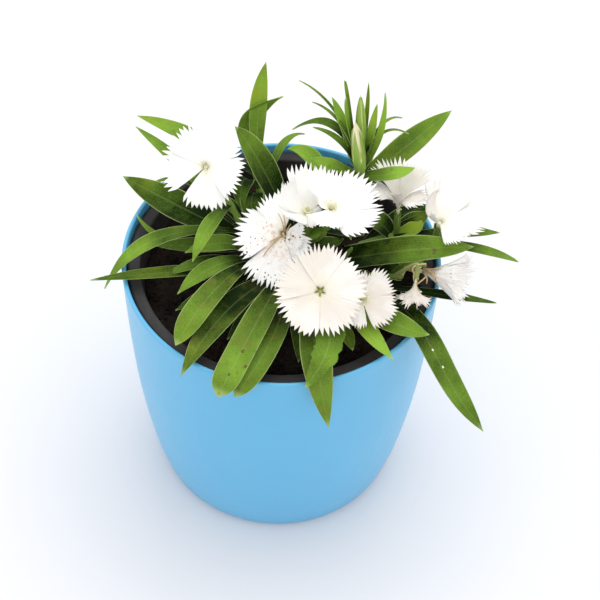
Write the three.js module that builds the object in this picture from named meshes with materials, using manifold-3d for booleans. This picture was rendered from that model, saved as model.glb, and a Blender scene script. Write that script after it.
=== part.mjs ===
// A dianthus plant in a plastic nursery pot that stands in a round cachepot.
// Units are millimetres, +Z is up. The origin is the middle of the cachepot's underside.
// The plant's points are given from the pot's axis, and their heights from the cachepot's rim.

import * as THREE from 'three';
import { mergeVertices } from 'three/addons/utils/BufferGeometryUtils.js';
import Module from 'manifold-3d';

const wasm = await Module();
wasm.setup();

// ---------------------------------------------------------------- driving sizes

// Cachepot: a belly-shaped cup with a thin rim, a rounded foot and a flat underside.
const POT_HEIGHT = 128;
const POT_RADIUS = 70;             // outside, at the rim
const POT_RIM_WALL = 1.9;
const POT_FLOOR = 4;
const POT_FOOT_ROUND = 5;
const POT_FOOT_FACETS = [30, 60];  // degrees round the foot's rounding
const POT_BELLY = [                // [share of the height, outside radius]
  [0.04, 54.5], [0.1, 56.9], [0.25, 60.8], [0.45, 64.6], [0.7, 67.6], [1, POT_RADIUS],
];

// Nursery pot: tapered, with a flat lip, standing on the cachepot's floor.
const NURSERY_DROP = 3;            // its lip lies this far under the cachepot's rim
const NURSERY_GAP = 0.6;            // between its lip and the cachepot's wall
const NURSERY_LIP = 6;             // width of the lip
const NURSERY_SKIRT = 6;           // depth of the lip's turned-down edge
const NURSERY_EASE = 1;            // small bevels at the lip's edges
const NURSERY_WALL = 1.2;
const NURSERY_FOOT_RADIUS = 46;
const NURSERY_FLOOR = 1.5;
const DRAIN_HOLES = 4;
const DRAIN_RADIUS = 4;
const DRAIN_CIRCLE = 28;

// Soil: fills the nursery pot to a little under its lip, heaped round the stems.
const SOIL_DROP = 14;              // its edge lies this far under the cachepot's rim
const SOIL_HEAP = 3;
const SOIL_LUMP = 1.1;
const SOIL_LUMPS = { rings: 0.55, sway: 2, lobes: 3, spokes: 5, spin: 0.21 };
const SOIL_RINGS = [0.75, 0.5, 0.25];  // shares of its radius at which the heap bends
const SOIL_MARGIN = 8;             // width of the edge over which the lumps fade out
const SOIL_GAP = 0.3;              // round each stem and to the pot's wall
const STEM_DEPTH = 18;             // how far each stem goes into the soil
const STEM_RISE = 2;               // how far it rises straight above the heap before it leans

// Leaves, stems and blooms.
const STEM_RADIUS = 1.3;
const STALK_RADIUS = 0.9;
const LEAF_THICKNESS = 1.2;        // at the midrib
const LEAF_BASE = 0.24;            // width at the stem, as a share of the full width
const LEAF_WIDENS_TO = 0.6;        // share of the length over which the leaf widens
const LEAF_NARROWS_FROM = 0.45;    // share of the length from which it narrows to its tip
const LEAF_BLUNT = 2.4;            // how late the leaf narrows to its tip: more is blunter
const LEAF_CHANNEL = 0.13;         // depth of the fold along the midrib, as a share of the width
const LEAF_SWELL = 1.2;            // how late the leaf widens: more is later
const LEAF_THINS = 0.4;            // how much thinner its tip is, as a share
const LEAF_STEPS = 7;
const LEAF_CROWD = 0.3;            // how much closer its sections stand at the tip, as a share
const STEM_STEPS = 5;
const STALK_STEPS = 4;
const STALK_REACH = 0.5;           // how far a stalk keeps the bloom's own line, as a share of its span
const FADED_STALK_REACH = 0.15;
const CALYX_LENGTH = 14;
const CALYX_RADIUS = 2.5;
const FADED_CALYX_LENGTH = 9;      // dried and shrunk
const FLARED_CALYX_RADIUS = 1.6;   // of blooms whose petals rise in a funnel
const CALYX_FOOT_LENGTH = 4;       // its tapering foot, which the stalk runs into
const CALYX_FOOT_RADIUS = 1.3;
const CALYX_WALL = 0.5;
const CALYX_BORE_DEPTH = 5;
const CLAW_GAP = 0.3;              // between the petals' claws and the calyx
const CLAW_TAPER = 0.75;           // radius of the claws' foot, as a share of their top's
const THROAT_RISE = 0.6;           // of the claws' low dome in the middle of the bloom
const CALYX_DROP = 0.6;            // from the petals' underside to the calyx's mouth
const BUD_NECK = 0.72;             // radius of a bud's mouth, as a share of its greatest
const BUD_WALL = 0.5;
const BUD_BELLY = [0.3, 0.45];     // shares of its length between which it is widest
const BUD_TIP_RADIUS = 0.75;       // where the petals' tip starts to close, as a share
const BUD_TIP_FROM = 0.4;          // how far past the sepals that is, as a share
const BUD_BORE_FROM = 0.5;         // share of a bud's length where the hollow for its petals starts
const PETAL_THICKNESS = 1;
const PETAL_TEETH = 8;
const PETAL_TOOTH = 0.15;          // depth of a tooth, as a share of the petal's length
const PETAL_HALF_ANGLE = 38;       // degrees, at the fringe
const FLARED_HALF_ANGLE = 43;      // degrees: of petals that rise in a funnel
const PETAL_FRINGE_FROM = 0.55;    // share of the length where the teeth's folds start
const PETAL_ROUND = 0.08;          // how much shorter the petal is at its two corners
const PETAL_POINT = 0.2;           // from the bloom's axis to the petal's point
const PETAL_FOLDS = 4;             // facets across the petal inside its fringe
const PETAL_WAIST = 0.97;          // width of the fan inside its fringe, as a share
const PETAL_WAVE = 0.5;            // height of the ripples across it, at the fringe
const PETAL_RIPPLES = 6;
const PETAL_TWIST = 1.1;           // how far one edge rises over the next petal's

const SIDES_ROUND = 40;
const SIDES_STEM = 6;
const SIDES_CALYX = 8;
const SIDES_HOLE = 10;
const MERGE_DISTANCE = 1e-4;

// ---------------------------------------------------------------- finishes

const finish = (color, roughness) =>
  new THREE.MeshStandardMaterial({ color, roughness, metalness: 0 });

const SKY_BLUE = finish(0x74bbe4, 0.35);
const CHARCOAL = finish(0x4d4a48, 0.6);
const SOIL_BROWN = finish(0x1f1a16, 0.95);
const LEAF_GREEN = finish(0x5f8f33, 0.5);
const PETAL_WHITE = finish(0xf8f5f2, 0.6);
const PETAL_FADED = finish(0xe9dcc9, 0.7);
const BUD_CREAM = finish(0xeee6b4, 0.6);

// ---------------------------------------------------------------- solids

const degrees = (angle) => (angle * Math.PI) / 180;

const place = ([x, y, height]) => new THREE.Vector3(x, y, POT_HEIGHT + height);

// A closed three.js geometry as a solid that can be joined and cut.
function solidOf(geometry) {
  const bare = geometry.clone();
  bare.deleteAttribute('normal');
  bare.deleteAttribute('uv');
  const merged = mergeVertices(bare, MERGE_DISTANCE);
  const mesh = new wasm.Mesh({
    numProp: 3,
    vertProperties: new Float32Array(merged.attributes.position.array),
    triVerts: new Uint32Array(merged.index.array),
  });
  return new wasm.Manifold(mesh);
}

function geometryOf(solid) {
  const mesh = solid.getMesh();
  const geometry = new THREE.BufferGeometry();
  geometry.setAttribute('position', new THREE.BufferAttribute(mesh.vertProperties, 3));
  geometry.setIndex(new THREE.BufferAttribute(mesh.triVerts, 1));
  geometry.computeVertexNormals();
  return geometry;
}

const joined = (solids) => solids.reduce((sum, solid) => sum.add(solid));

function meshOf(name, solid, material) {
  const mesh = new THREE.Mesh(geometryOf(solid), material);
  mesh.name = name;
  return mesh;
}

// A turned solid round the Z axis from [radius, height] pairs, listed from the bottom up.
function turned(profile, sides) {
  const points = profile.map(([radius, height]) => new THREE.Vector2(radius, height));
  const geometry = new THREE.LatheGeometry(points, sides);
  geometry.rotateX(Math.PI / 2);
  return solidOf(geometry);
}

// A round bar of the given radius along a curve.
function bar(curve, radius, steps) {
  const circle = new THREE.Shape();
  circle.absarc(0, 0, radius, 0, 2 * Math.PI);
  const options = {
    extrudePath: curve, steps, bevelEnabled: false, curveSegments: SIDES_STEM / 2,
  };
  return solidOf(new THREE.ExtrudeGeometry(circle, options));
}

// A quadratic curve that passes through its middle point half way along.
function curveThrough(start, middle, end) {
  const control = middle.clone().multiplyScalar(2).sub(start.clone().add(end).multiplyScalar(0.5));
  return new THREE.QuadraticBezierCurve3(start, control, end);
}

// A closed solid from rings of equal length and a last point that the rings run out to.
function skinned(rings, apex) {
  const across = rings[0].length;
  const points = rings.flat().concat([apex]);
  const faces = [];
  for (let ring = 0; ring < rings.length - 1; ring += 1) {
    for (let side = 0; side < across; side += 1) {
      const here = ring * across + side;
      const next = ring * across + ((side + 1) % across);
      faces.push(here, next, next + across, here, next + across, here + across);
    }
  }
  const last = (rings.length - 1) * across;
  for (let side = 0; side < across; side += 1) {
    faces.push(last + side, last + ((side + 1) % across), points.length - 1);
  }
  for (let side = 1; side < across - 1; side += 1) {
    faces.push(0, side + 1, side);
  }
  const geometry = new THREE.BufferGeometry();
  geometry.setFromPoints(points);
  geometry.setIndex(faces);
  return solidOf(geometry);
}

// ---------------------------------------------------------------- pots and soil

function cachepot() {
  const footRadius = POT_BELLY[0][1] - POT_FOOT_ROUND;
  const foot = POT_FOOT_FACETS.map((angle) => [
    footRadius + POT_FOOT_ROUND * Math.sin(degrees(angle)),
    POT_FOOT_ROUND * (1 - Math.cos(degrees(angle))),
  ]);
  const outside = POT_BELLY.map(([share, radius]) => [radius, share * POT_HEIGHT]);
  const inside = POT_BELLY.slice(1, -1).reverse().map(([share, radius]) => [
    radius - POT_RIM_WALL, share * POT_HEIGHT,
  ]);
  const profile = [
    [0, 0], [footRadius, 0], ...foot, ...outside,
    [POT_RADIUS - POT_RIM_WALL, POT_HEIGHT], ...inside,
    [footRadius, POT_FLOOR], [0, POT_FLOOR],
  ];
  return turned(profile, SIDES_ROUND);
}

const lipTop = POT_HEIGHT - NURSERY_DROP;
const lipRadius = POT_RADIUS - POT_RIM_WALL - NURSERY_GAP;
const nurseryMouth = lipRadius - NURSERY_LIP;
const nurseryFoot = POT_FLOOR;

// The nursery pot's inside radius at a height, on its straight taper.
function nurseryInside(height) {
  const share = (height - nurseryFoot) / (lipTop - nurseryFoot);
  return NURSERY_FOOT_RADIUS - NURSERY_WALL + (nurseryMouth - NURSERY_FOOT_RADIUS + NURSERY_WALL) * share;
}

function nurseryPot() {
  const floorTop = nurseryFoot + NURSERY_FLOOR;
  const pot = turned([
    [0, nurseryFoot], [NURSERY_FOOT_RADIUS, nurseryFoot],
    [nurseryMouth + NURSERY_WALL - NURSERY_EASE, lipTop - NURSERY_SKIRT - NURSERY_EASE],
    [lipRadius - NURSERY_EASE, lipTop - NURSERY_SKIRT],
    [lipRadius, lipTop - NURSERY_EASE], [lipRadius - NURSERY_EASE, lipTop],
    [nurseryMouth + NURSERY_EASE / 2, lipTop], [nurseryMouth, lipTop - NURSERY_EASE],
    [nurseryInside(floorTop), floorTop], [0, floorTop],
  ], SIDES_ROUND);
  const holes = [];
  for (let hole = 0; hole < DRAIN_HOLES; hole += 1) {
    const angle = (2 * Math.PI * (hole + 0.5)) / DRAIN_HOLES;
    const drill = new THREE.CylinderGeometry(DRAIN_RADIUS, DRAIN_RADIUS, 4 * NURSERY_FLOOR, SIDES_HOLE);
    drill.rotateX(Math.PI / 2);
    drill.translate(DRAIN_CIRCLE * Math.cos(angle), DRAIN_CIRCLE * Math.sin(angle), nurseryFoot);
    holes.push(solidOf(drill));
  }
  return pot.subtract(joined(holes));
}

// The soil's top: a low heap with lumps, as a height above the soil's edge.
function soilHeight(radius, angle, edge) {
  const heap = SOIL_HEAP * (1 - (radius / edge) ** 2);
  const { rings, sway, lobes, spokes, spin } = SOIL_LUMPS;
  const lumps = Math.sin(radius * rings + sway * Math.sin(lobes * angle))
    * Math.cos(spokes * angle + radius * spin);
  return heap + SOIL_LUMP * lumps * Math.min(1, (edge - radius) / SOIL_MARGIN);
}

function soil(stems) {
  const floorTop = nurseryFoot + NURSERY_FLOOR;
  const edgeHeight = POT_HEIGHT - SOIL_DROP;
  const edge = nurseryInside(edgeHeight) - SOIL_GAP;
  const heaped = edgeHeight + SOIL_HEAP;
  const profile = [
    [0, floorTop], [nurseryInside(floorTop) - SOIL_GAP, floorTop], [edge, edgeHeight],
    ...SOIL_RINGS.map((share) => [edge * share, heaped]), [0, heaped],
  ];
  const points = profile.map(([radius, height]) => new THREE.Vector2(radius, height));
  const geometry = new THREE.LatheGeometry(points, SIDES_ROUND / 2);
  geometry.rotateX(Math.PI / 2);
  const position = geometry.attributes.position;
  for (let index = 0; index < position.count; index += 1) {
    if (position.getZ(index) > edgeHeight + SOIL_HEAP / 2) {
      const radius = Math.hypot(position.getX(index), position.getY(index));
      const angle = radius < 0.01 ? 0 : Math.atan2(position.getY(index), position.getX(index));
      position.setZ(index, edgeHeight + soilHeight(radius, angle, edge));
    }
  }
  const holes = stems.map((stem) => stemHole(stem));
  return solidOf(geometry).subtract(joined(holes));
}

// ---------------------------------------------------------------- leaves

// Width of a leaf at a share of its length: it narrows to its clasping base and to its tip.
function leafWidth(share, base, blunt) {
  const rise = Math.sin((Math.PI / 2) * Math.min(1, share / LEAF_WIDENS_TO));
  const fall = Math.max(0, (share - LEAF_NARROWS_FROM) / (1 - LEAF_NARROWS_FROM));
  return (base + (1 - base) * rise ** LEAF_SWELL) * (1 - fall ** blunt);
}

// One leaf: its midrib is a curve that may sway to one side and back, and its section is
// a shallow V that is thick at the midrib.
function leafBlade(root, leaf) {
  const { middle, tip, width, roll = 0, twist = 0, sway = 0, base = LEAF_BASE, blunt = LEAF_BLUNT } = leaf;
  const curve = curveThrough(root, place(middle), place(tip));
  const heading = place(tip).sub(root).setZ(0).normalize();
  const side = new THREE.Vector3(-heading.y, heading.x, 0);
  const rings = [];
  for (let step = 0; step < LEAF_STEPS; step += 1) {
    const even = step / LEAF_STEPS;
    const share = even * (1 + LEAF_CROWD - LEAF_CROWD * even);
    const centre = curve.getPoint(share).addScaledVector(side, sway * Math.sin(2 * Math.PI * share));
    const along = curve.getTangent(share);
    const across = side.clone().addScaledVector(along, -side.dot(along)).normalize();
    across.applyAxisAngle(along, degrees(roll + twist * share));
    const up = along.clone().cross(across);
    const half = (width / 2) * leafWidth(share, base, blunt);
    const channel = 2 * half * LEAF_CHANNEL;
    const thick = (LEAF_THICKNESS / 2) * (1 - LEAF_THINS * share);
    rings.push([
      centre.clone().addScaledVector(across, half).addScaledVector(up, channel),
      centre.clone().addScaledVector(up, thick),
      centre.clone().addScaledVector(across, -half).addScaledVector(up, channel),
      centre.clone().addScaledVector(up, -thick),
    ]);
  }
  return skinned(rings, curve.getPoint(1));
}

// ---------------------------------------------------------------- blooms

// The direction that a bloom faces: it leans from upright towards a heading.
function facing({ lean, toward }) {
  return new THREE.Vector3(
    Math.sin(degrees(lean)) * Math.cos(degrees(toward)),
    Math.sin(degrees(lean)) * Math.sin(degrees(toward)),
    Math.cos(degrees(lean)),
  );
}

// Turns a solid built round +Z so that +Z becomes the bloom's facing, and moves it to a point.
function aimed(solid, { lean, toward }, point) {
  const turn = new THREE.Matrix4().makeRotationZ(degrees(toward));
  turn.multiply(new THREE.Matrix4().makeRotationY(degrees(lean)));
  turn.multiply(new THREE.Matrix4().makeRotationZ(degrees(-toward)));
  turn.setPosition(point);
  return solid.transform(turn.elements);
}

// A petal: a fan from the middle of the bloom. Its fringe row has a point for each tooth and
// each notch, the row inside it only a few, and both faces share the fringe and the sides.
// Its thickness is laid off square to its slope, so a petal that stands up keeps it too.
// It rises from the middle at `flare` degrees and has bent to `lift` degrees at its fringe.
function petal(angle, length, lift, halfAngle, flare) {
  const pointAt = (share, across, notch, thick) => {
    const turn = degrees(across * halfAngle * (share < 1 ? PETAL_WAIST : 1));
    const radius = length * (share * (1 - PETAL_ROUND * across ** 2) - notch);
    const tilt = degrees(flare + (lift - flare) * share);
    const slope = tilt + Math.atan(share * degrees(lift - flare));
    const out = radius * Math.cos(tilt) - thick * Math.sin(slope);
    const wave = PETAL_WAVE * Math.sin(across * PETAL_RIPPLES) * share * share;
    const rise = radius * Math.sin(tilt) + wave + PETAL_TWIST * across * share;
    return new THREE.Vector3(out * Math.cos(turn), out * Math.sin(turn), rise + thick * Math.cos(slope));
  };
  const fine = 2 * PETAL_TEETH;
  const step = fine / PETAL_FOLDS;
  const points = [];
  for (let column = 0; column <= fine; column += 1) {
    const notch = column % 2 === 0 ? PETAL_TOOTH : 0;
    points.push(pointAt(1, (2 * column) / fine - 1, notch, 0));
  }
  const rims = [];
  [1, -1].forEach((face, layer) => {
    rims[layer] = points.length;
    for (let fold = 0; fold <= PETAL_FOLDS; fold += 1) {
      const border = fold === 0 || fold === PETAL_FOLDS;
      const thick = border ? 0 : (face * PETAL_THICKNESS) / 2;
      points.push(pointAt(PETAL_FRINGE_FROM, (2 * fold) / PETAL_FOLDS - 1, 0, thick));
    }
  });
  const middles = [1, -1].map((face) => {
    points.push(new THREE.Vector3(PETAL_POINT, 0, (face * PETAL_THICKNESS) / 2));
    return points.length - 1;
  });
  const faces = [];
  [0, 1].forEach((layer) => {
    const tri = (a, b, c) => (layer === 0 ? faces.push(a, b, c) : faces.push(a, c, b));
    for (let fold = 0; fold < PETAL_FOLDS; fold += 1) {
      const near = rims[layer] + fold;
      const first = fold * step;
      const turnOver = first + step / 2;
      for (let column = first; column < first + step; column += 1) {
        tri(column < turnOver ? near : near + 1, column, column + 1);
      }
      tri(near, turnOver, near + 1);
      tri(middles[layer], near, near + 1);
    }
  });
  faces.push(middles[0], middles[1], rims[0], middles[0], rims[0] + PETAL_FOLDS, middles[1]);
  const geometry = new THREE.BufferGeometry();
  geometry.setFromPoints(points);
  geometry.setIndex(faces);
  geometry.rotateZ(degrees(angle));
  return solidOf(geometry);
}

const calyxLength = (bloom) => (bloom.faded ? FADED_CALYX_LENGTH : CALYX_LENGTH);
const calyxRadius = (bloom) => (bloom.flare ? FLARED_CALYX_RADIUS : CALYX_RADIUS);

// The petals, and the claws under them that go down into the calyx.
function corolla(bloom) {
  const claw = calyxRadius(bloom) - CALYX_WALL - CLAW_GAP;
  const claws = turned([
    [0, -CALYX_BORE_DEPTH + CLAW_GAP], [claw * CLAW_TAPER, -CALYX_BORE_DEPTH + CLAW_GAP],
    [claw, 0], [0, THROAT_RISE],
  ], SIDES_CALYX);
  const halfAngle = bloom.flare ? FLARED_HALF_ANGLE : PETAL_HALF_ANGLE;
  const flare = bloom.flare ?? 0;
  const petals = bloom.petals.map(([angle, length, lift]) => petal(angle, length, lift, halfAngle, flare));
  return aimed(joined([claws, ...petals]), bloom, place(bloom.centre));
}

function calyx(bloom) {
  const length = calyxLength(bloom);
  const radius = calyxRadius(bloom);
  const bore = radius - CALYX_WALL;
  const top = -PETAL_THICKNESS / 2 - CALYX_DROP;
  const cup = turned([
    [0, -length], [CALYX_FOOT_RADIUS, -length], [radius, -length + CALYX_FOOT_LENGTH],
    [radius, top], [bore, top], [bore, -CALYX_BORE_DEPTH], [0, -CALYX_BORE_DEPTH],
  ], SIDES_CALYX);
  return aimed(cup, bloom, place(bloom.centre));
}

// The direction from a bud's foot to its tip, as a lean from upright towards a heading.
function leanOf({ foot, tip }) {
  const way = place(tip).sub(place(foot)).normalize();
  const toward = (Math.atan2(way.y, way.x) * 180) / Math.PI;
  return { lean: (Math.acos(way.z) * 180) / Math.PI, toward };
}

// A bud's green sepals: a slim tube, closed below, that the petals' tip stands in.
function budSepals(bud) {
  const length = place(bud.foot).distanceTo(place(bud.tip));
  const mouth = bud.radius * BUD_NECK;
  const bore = mouth - BUD_WALL;
  const tube = turned([
    [0, 0], [STALK_RADIUS, 0], ...BUD_BELLY.map((share) => [bud.radius, length * share]),
    [mouth, length * bud.opening], [bore, length * bud.opening],
    [bore, length * BUD_BORE_FROM], [0, length * BUD_BORE_FROM],
  ], SIDES_CALYX);
  return aimed(tube, leanOf(bud), place(bud.foot));
}

// The furled petals that show above the sepals.
function budPetals(bud) {
  const length = place(bud.foot).distanceTo(place(bud.tip));
  const core = bud.radius * BUD_NECK - BUD_WALL - CLAW_GAP;
  const foot = length * BUD_BORE_FROM + CLAW_GAP;
  const tip = turned([
    [0, foot], [core, foot], [core, length * bud.opening],
    [core * BUD_TIP_RADIUS, length * (bud.opening + BUD_TIP_FROM * (1 - bud.opening))], [0, length],
  ], SIDES_CALYX);
  return aimed(tip, leanOf(bud), place(bud.foot));
}

// Five petals of one length, a fifth of a turn apart.
function evenPetals(spin, length, lift) {
  return [0, 1, 2, 3, 4].map((petalNumber) => [spin + 72 * petalNumber, length, lift]);
}

// ---------------------------------------------------------------- the plant's layout

// Each leafy stem: where its foot stands in the soil, the height at which it starts to bend,
// and its top. Its leaves and flower stalks leave it at a share of its length.
const STEMS = [
  {
    name: 'leafy_stem_left', foot: [-14, 8], bend: 8, top: [-30, 22, 24],
    leaves: [
      { at: 0.5, middle: [-44, 37, 15], tip: [-68, 61, 16], width: 7 },
      { at: 0.3, middle: [-44, 20, 8], tip: [-72, 36, 10], width: 14, roll: -28 },
      { at: 0.6, middle: [-42, 32, 12], tip: [-60, 33, 8], width: 3.5 },
      { at: 0.15, middle: [-46, 8, -3], tip: [-65, 20, 3], width: 4.5 },
      { at: 0.4, middle: [-54, -2, 12], tip: [-77, -11, -12], width: 8.5 },
      { at: 0.2, middle: [-36, 7, -2], tip: [-57, 6, -1], width: 9 },
      { at: 0.75, middle: [-31, -1, 22], tip: [-38, -15, 13], width: 7.5 },
      { at: 0.35, middle: [-24, 24, 4], tip: [-34, 34, 2], width: 9 },
    ],
  },
  {
    name: 'leafy_stem_left_low', foot: [-12, -5], bend: 0, top: [-14, -4, 10],
    leaves: [
      { at: 0.35, middle: [-46, -11, 1], tip: [-82, -19, 3], width: 7 },
      { at: 0.5, middle: [-31, -6, 3], tip: [-51, -13, 0], width: 7 },
      { at: 0.95, middle: [-26, -2, 11], tip: [-42, -4, 6], width: 9, roll: -10 },
      { at: 0.7, middle: [-29, -14, 9], tip: [-44, -25, 3], width: 9 },
      { at: 0.2, middle: [-30, -17, -5], tip: [-45, -26, -7], width: 7 },
      { at: 0.6, middle: [-28, -31, 13], tip: [-43, -54, 4], width: 11.5, blunt: 6 },
    ],
  },
  {
    name: 'leafy_stem_back_left', foot: [-8, 24], bend: 4, top: [-14, 38, 18],
    leaves: [
      { at: 0.8, middle: [-13, 54, 34], tip: [-10, 63, 58], width: 8 },
      { at: 1, middle: [-17, 53, 30], tip: [-2, 56, 44], width: 9, twist: 75 },
      { at: 0.9, middle: [-41, 51, 20], tip: [-67, 60, 24], width: 8.5, roll: -10 },
      { at: 0.5, middle: [-3, 56, 10], tip: [8, 68, 8], width: 4 },
      { at: 0.7, middle: [-18, 28, 19], tip: [-18, 15, 13], width: 10 },
      { at: 0.6, middle: [-14, 22, 15], tip: [-13, 8, 10], width: 11 },
    ],
  },
  {
    name: 'leafy_stem_middle', foot: [4, 10], bend: 6, top: [9, 2, 14],
    leaves: [
      { at: 0.5, middle: [-9, 21, 33], tip: [-22, 29, 52], width: 14 },
      { at: 0.6, middle: [13, 2.5, 12.5], tip: [19, 6, 14], width: 10, base: 0.5 },
      { at: 0.8, middle: [20, 8, 17], tip: [30, 2, 12], width: 10 },
      { at: 0.25, middle: [16, 6, 3], tip: [27, 12, 1], width: 8 },
    ],
  },
  {
    name: 'leafy_stem_front_left', foot: [1, -9], bend: -2, top: [3, -10, 8],
    leaves: [
      { at: 0.6, middle: [-21, -35, 7], tip: [-40, -68, 1], width: 13 },
      { at: 0.7, middle: [-8.8, -44, 10.4], tip: [-24, -78, 1], width: 12.5, blunt: 14 },
      { at: 0.4, middle: [-1, -46, 7], tip: [-17, -77, 0], width: 10.5, blunt: 10 },
      { at: 0.2, middle: [8, -34, -4], tip: [9, -52, -7], width: 7 },
      { at: 0.15, middle: [-10, -26, -3], tip: [-22, -42, -6], width: 8 },
    ],
  },
  {
    name: 'leafy_stem_front', foot: [13, -18], bend: 0, top: [15, -24, 10],
    leaves: [
      { at: 0.5, middle: [15.8, -58, 10], tip: [23, -76, -20], width: 13.5 },
      { at: 0.9, middle: [22, -53, 14], tip: [12, -74, 4], width: 13.5, blunt: 3.5 },
      { at: 0.3, middle: [25, -35, 1], tip: [32, -49, -1], width: 7, blunt: 4 },
      { at: 0.2, middle: [19, -33, -5], tip: [24, -46, -7], width: 7 },
    ],
  },
  {
    name: 'leafy_stem_front_right', foot: [24, -13], bend: 0, top: [29, -20, 8],
    leaves: [
      { at: 0.9, middle: [35, -40, 8], tip: [49, -57, 4], width: 9, base: 0.5 },
      { at: 0.7, middle: [45, -38, 8], tip: [64, -46, 8], width: 11.5, roll: 12 },
      { at: 0.5, middle: [34, -13, 5], tip: [41, -13, 3.5], width: 7 },
    ],
  },
  {
    name: 'leafy_stem_right', foot: [27, 5], bend: 6, top: [48.5, 9, 7.5],
    leaves: [
      { at: 0.15, middle: [54, -9, 19], tip: [83, -1, 14], width: 13, roll: 14, base: 0.9 },
      { at: 0.98, middle: [42, 13, 11.5], tip: [34, 18, 12], width: 11, base: 0.5 },
      { at: 1, middle: [56, 15, 9], tip: [64, 21, 11], width: 10, base: 0.5 },
      { at: 0.93, middle: [56, 10, 10.5], tip: [60.5, 14.5, 12.5], width: 8, base: 0.5 },
      { at: 0.9, middle: [73, 8, 12], tip: [95, 13, 8], width: 7 },
      { at: 0.6, middle: [52, 20, 9], tip: [66, 26, 8], width: 8 },
      { at: 0.95, middle: [82, -1, 13], tip: [104, 5, -2], width: 5.5 },
      { at: 0.1, middle: [42, 0, 3], tip: [57, -5, 4], width: 8 },
    ],
  },
  {
    name: 'leafy_stem_low_right', foot: [34, -8], bend: -2, top: [52, -14, 8],
    leaves: [
      { at: 0.3, middle: [65, -46.4, 0.5], tip: [90, -63, -36], width: 12, sway: 3, blunt: 4 },
      { at: 0.3, middle: [74.2, -18.9, 1.4], tip: [94, -18, -3], width: 5.5, blunt: 1.2 },
      { at: 0.3, middle: [46, -10, 5], tip: [53, -10.5, 3], width: 10, blunt: 5 },
      { at: 0.8, middle: [56, -8, 8], tip: [63, -7, 7], width: 6 },
    ],
  },
  {
    name: 'leafy_stem_back', foot: [18, 20], bend: 16, top: [33, 21, 34],
    leaves: [
      { at: 0.45, middle: [50, 44, 24], tip: [73, 65, 30], width: 11.5, roll: 20 },
      { at: 0.97, middle: [44.5, 16.5, 39], tip: [56, 20.5, 39.5], width: 6.5, roll: 20, base: 0.5 },
      { at: 0.97, middle: [21, 22, 37], tip: [11, 27, 36], width: 6, roll: -25 },
      { at: 0.5, middle: [13, 43, 17.5], tip: [0.5, 48, 19], width: 7.5, roll: -20 },
      { at: 0.3, middle: [30, 40, 8], tip: [38, 52, 6], width: 8 },
      { at: 0.12, middle: [27, 15, 3], tip: [36, 12, 4], width: 9 },
      { at: 0.35, middle: [10, 33, 8], tip: [2, 44, 8], width: 7 },
      { at: 0.99, middle: [20.3, 30.3, 53], tip: [2.6, 32.2, 48], width: 5 },
      { at: 0.98, middle: [23.8, 24.7, 49], tip: [11.4, 36, 46], width: 3.5 },
      { at: 0.99, middle: [21.6, 32.4, 58], tip: [4.7, 44.2, 66], width: 1.4 },
      { at: 0.99, middle: [23.8, 26.9, 57], tip: [10.6, 39.5, 58], width: 1.8 },
      { at: 1, middle: [25, 28, 54], tip: [19, 33, 68], width: 5.5 },
      { at: 1, middle: [28, 25, 44], tip: [23, 30, 58], width: 5.5, base: 0.5 },
      { at: 0.97, middle: [26, 29.5, 68], tip: [24, 31, 80], width: 2 },
      { at: 1, middle: [34.2, 32.6, 57], tip: [34, 31, 80], width: 2 },
      { at: 0.98, middle: [25.8, 26.3, 62], tip: [25, 25, 76], width: 3 },
      { at: 1, middle: [36, 24, 45], tip: [36, 28, 60], width: 5.5, base: 0.5 },
      { at: 1, middle: [36.5, 24, 56], tip: [38, 26, 72], width: 4.5 },
      { at: 1, middle: [40.5, 21, 60], tip: [41, 25, 80], width: 5 },
      { at: 0.99, middle: [39.4, 26.1, 57], tip: [49.8, 37.8, 52], width: 1.6 },
      { at: 0.99, middle: [40.3, 27.2, 52], tip: [52.9, 34.2, 46], width: 1.6 },
    ],
  },
];

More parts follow.
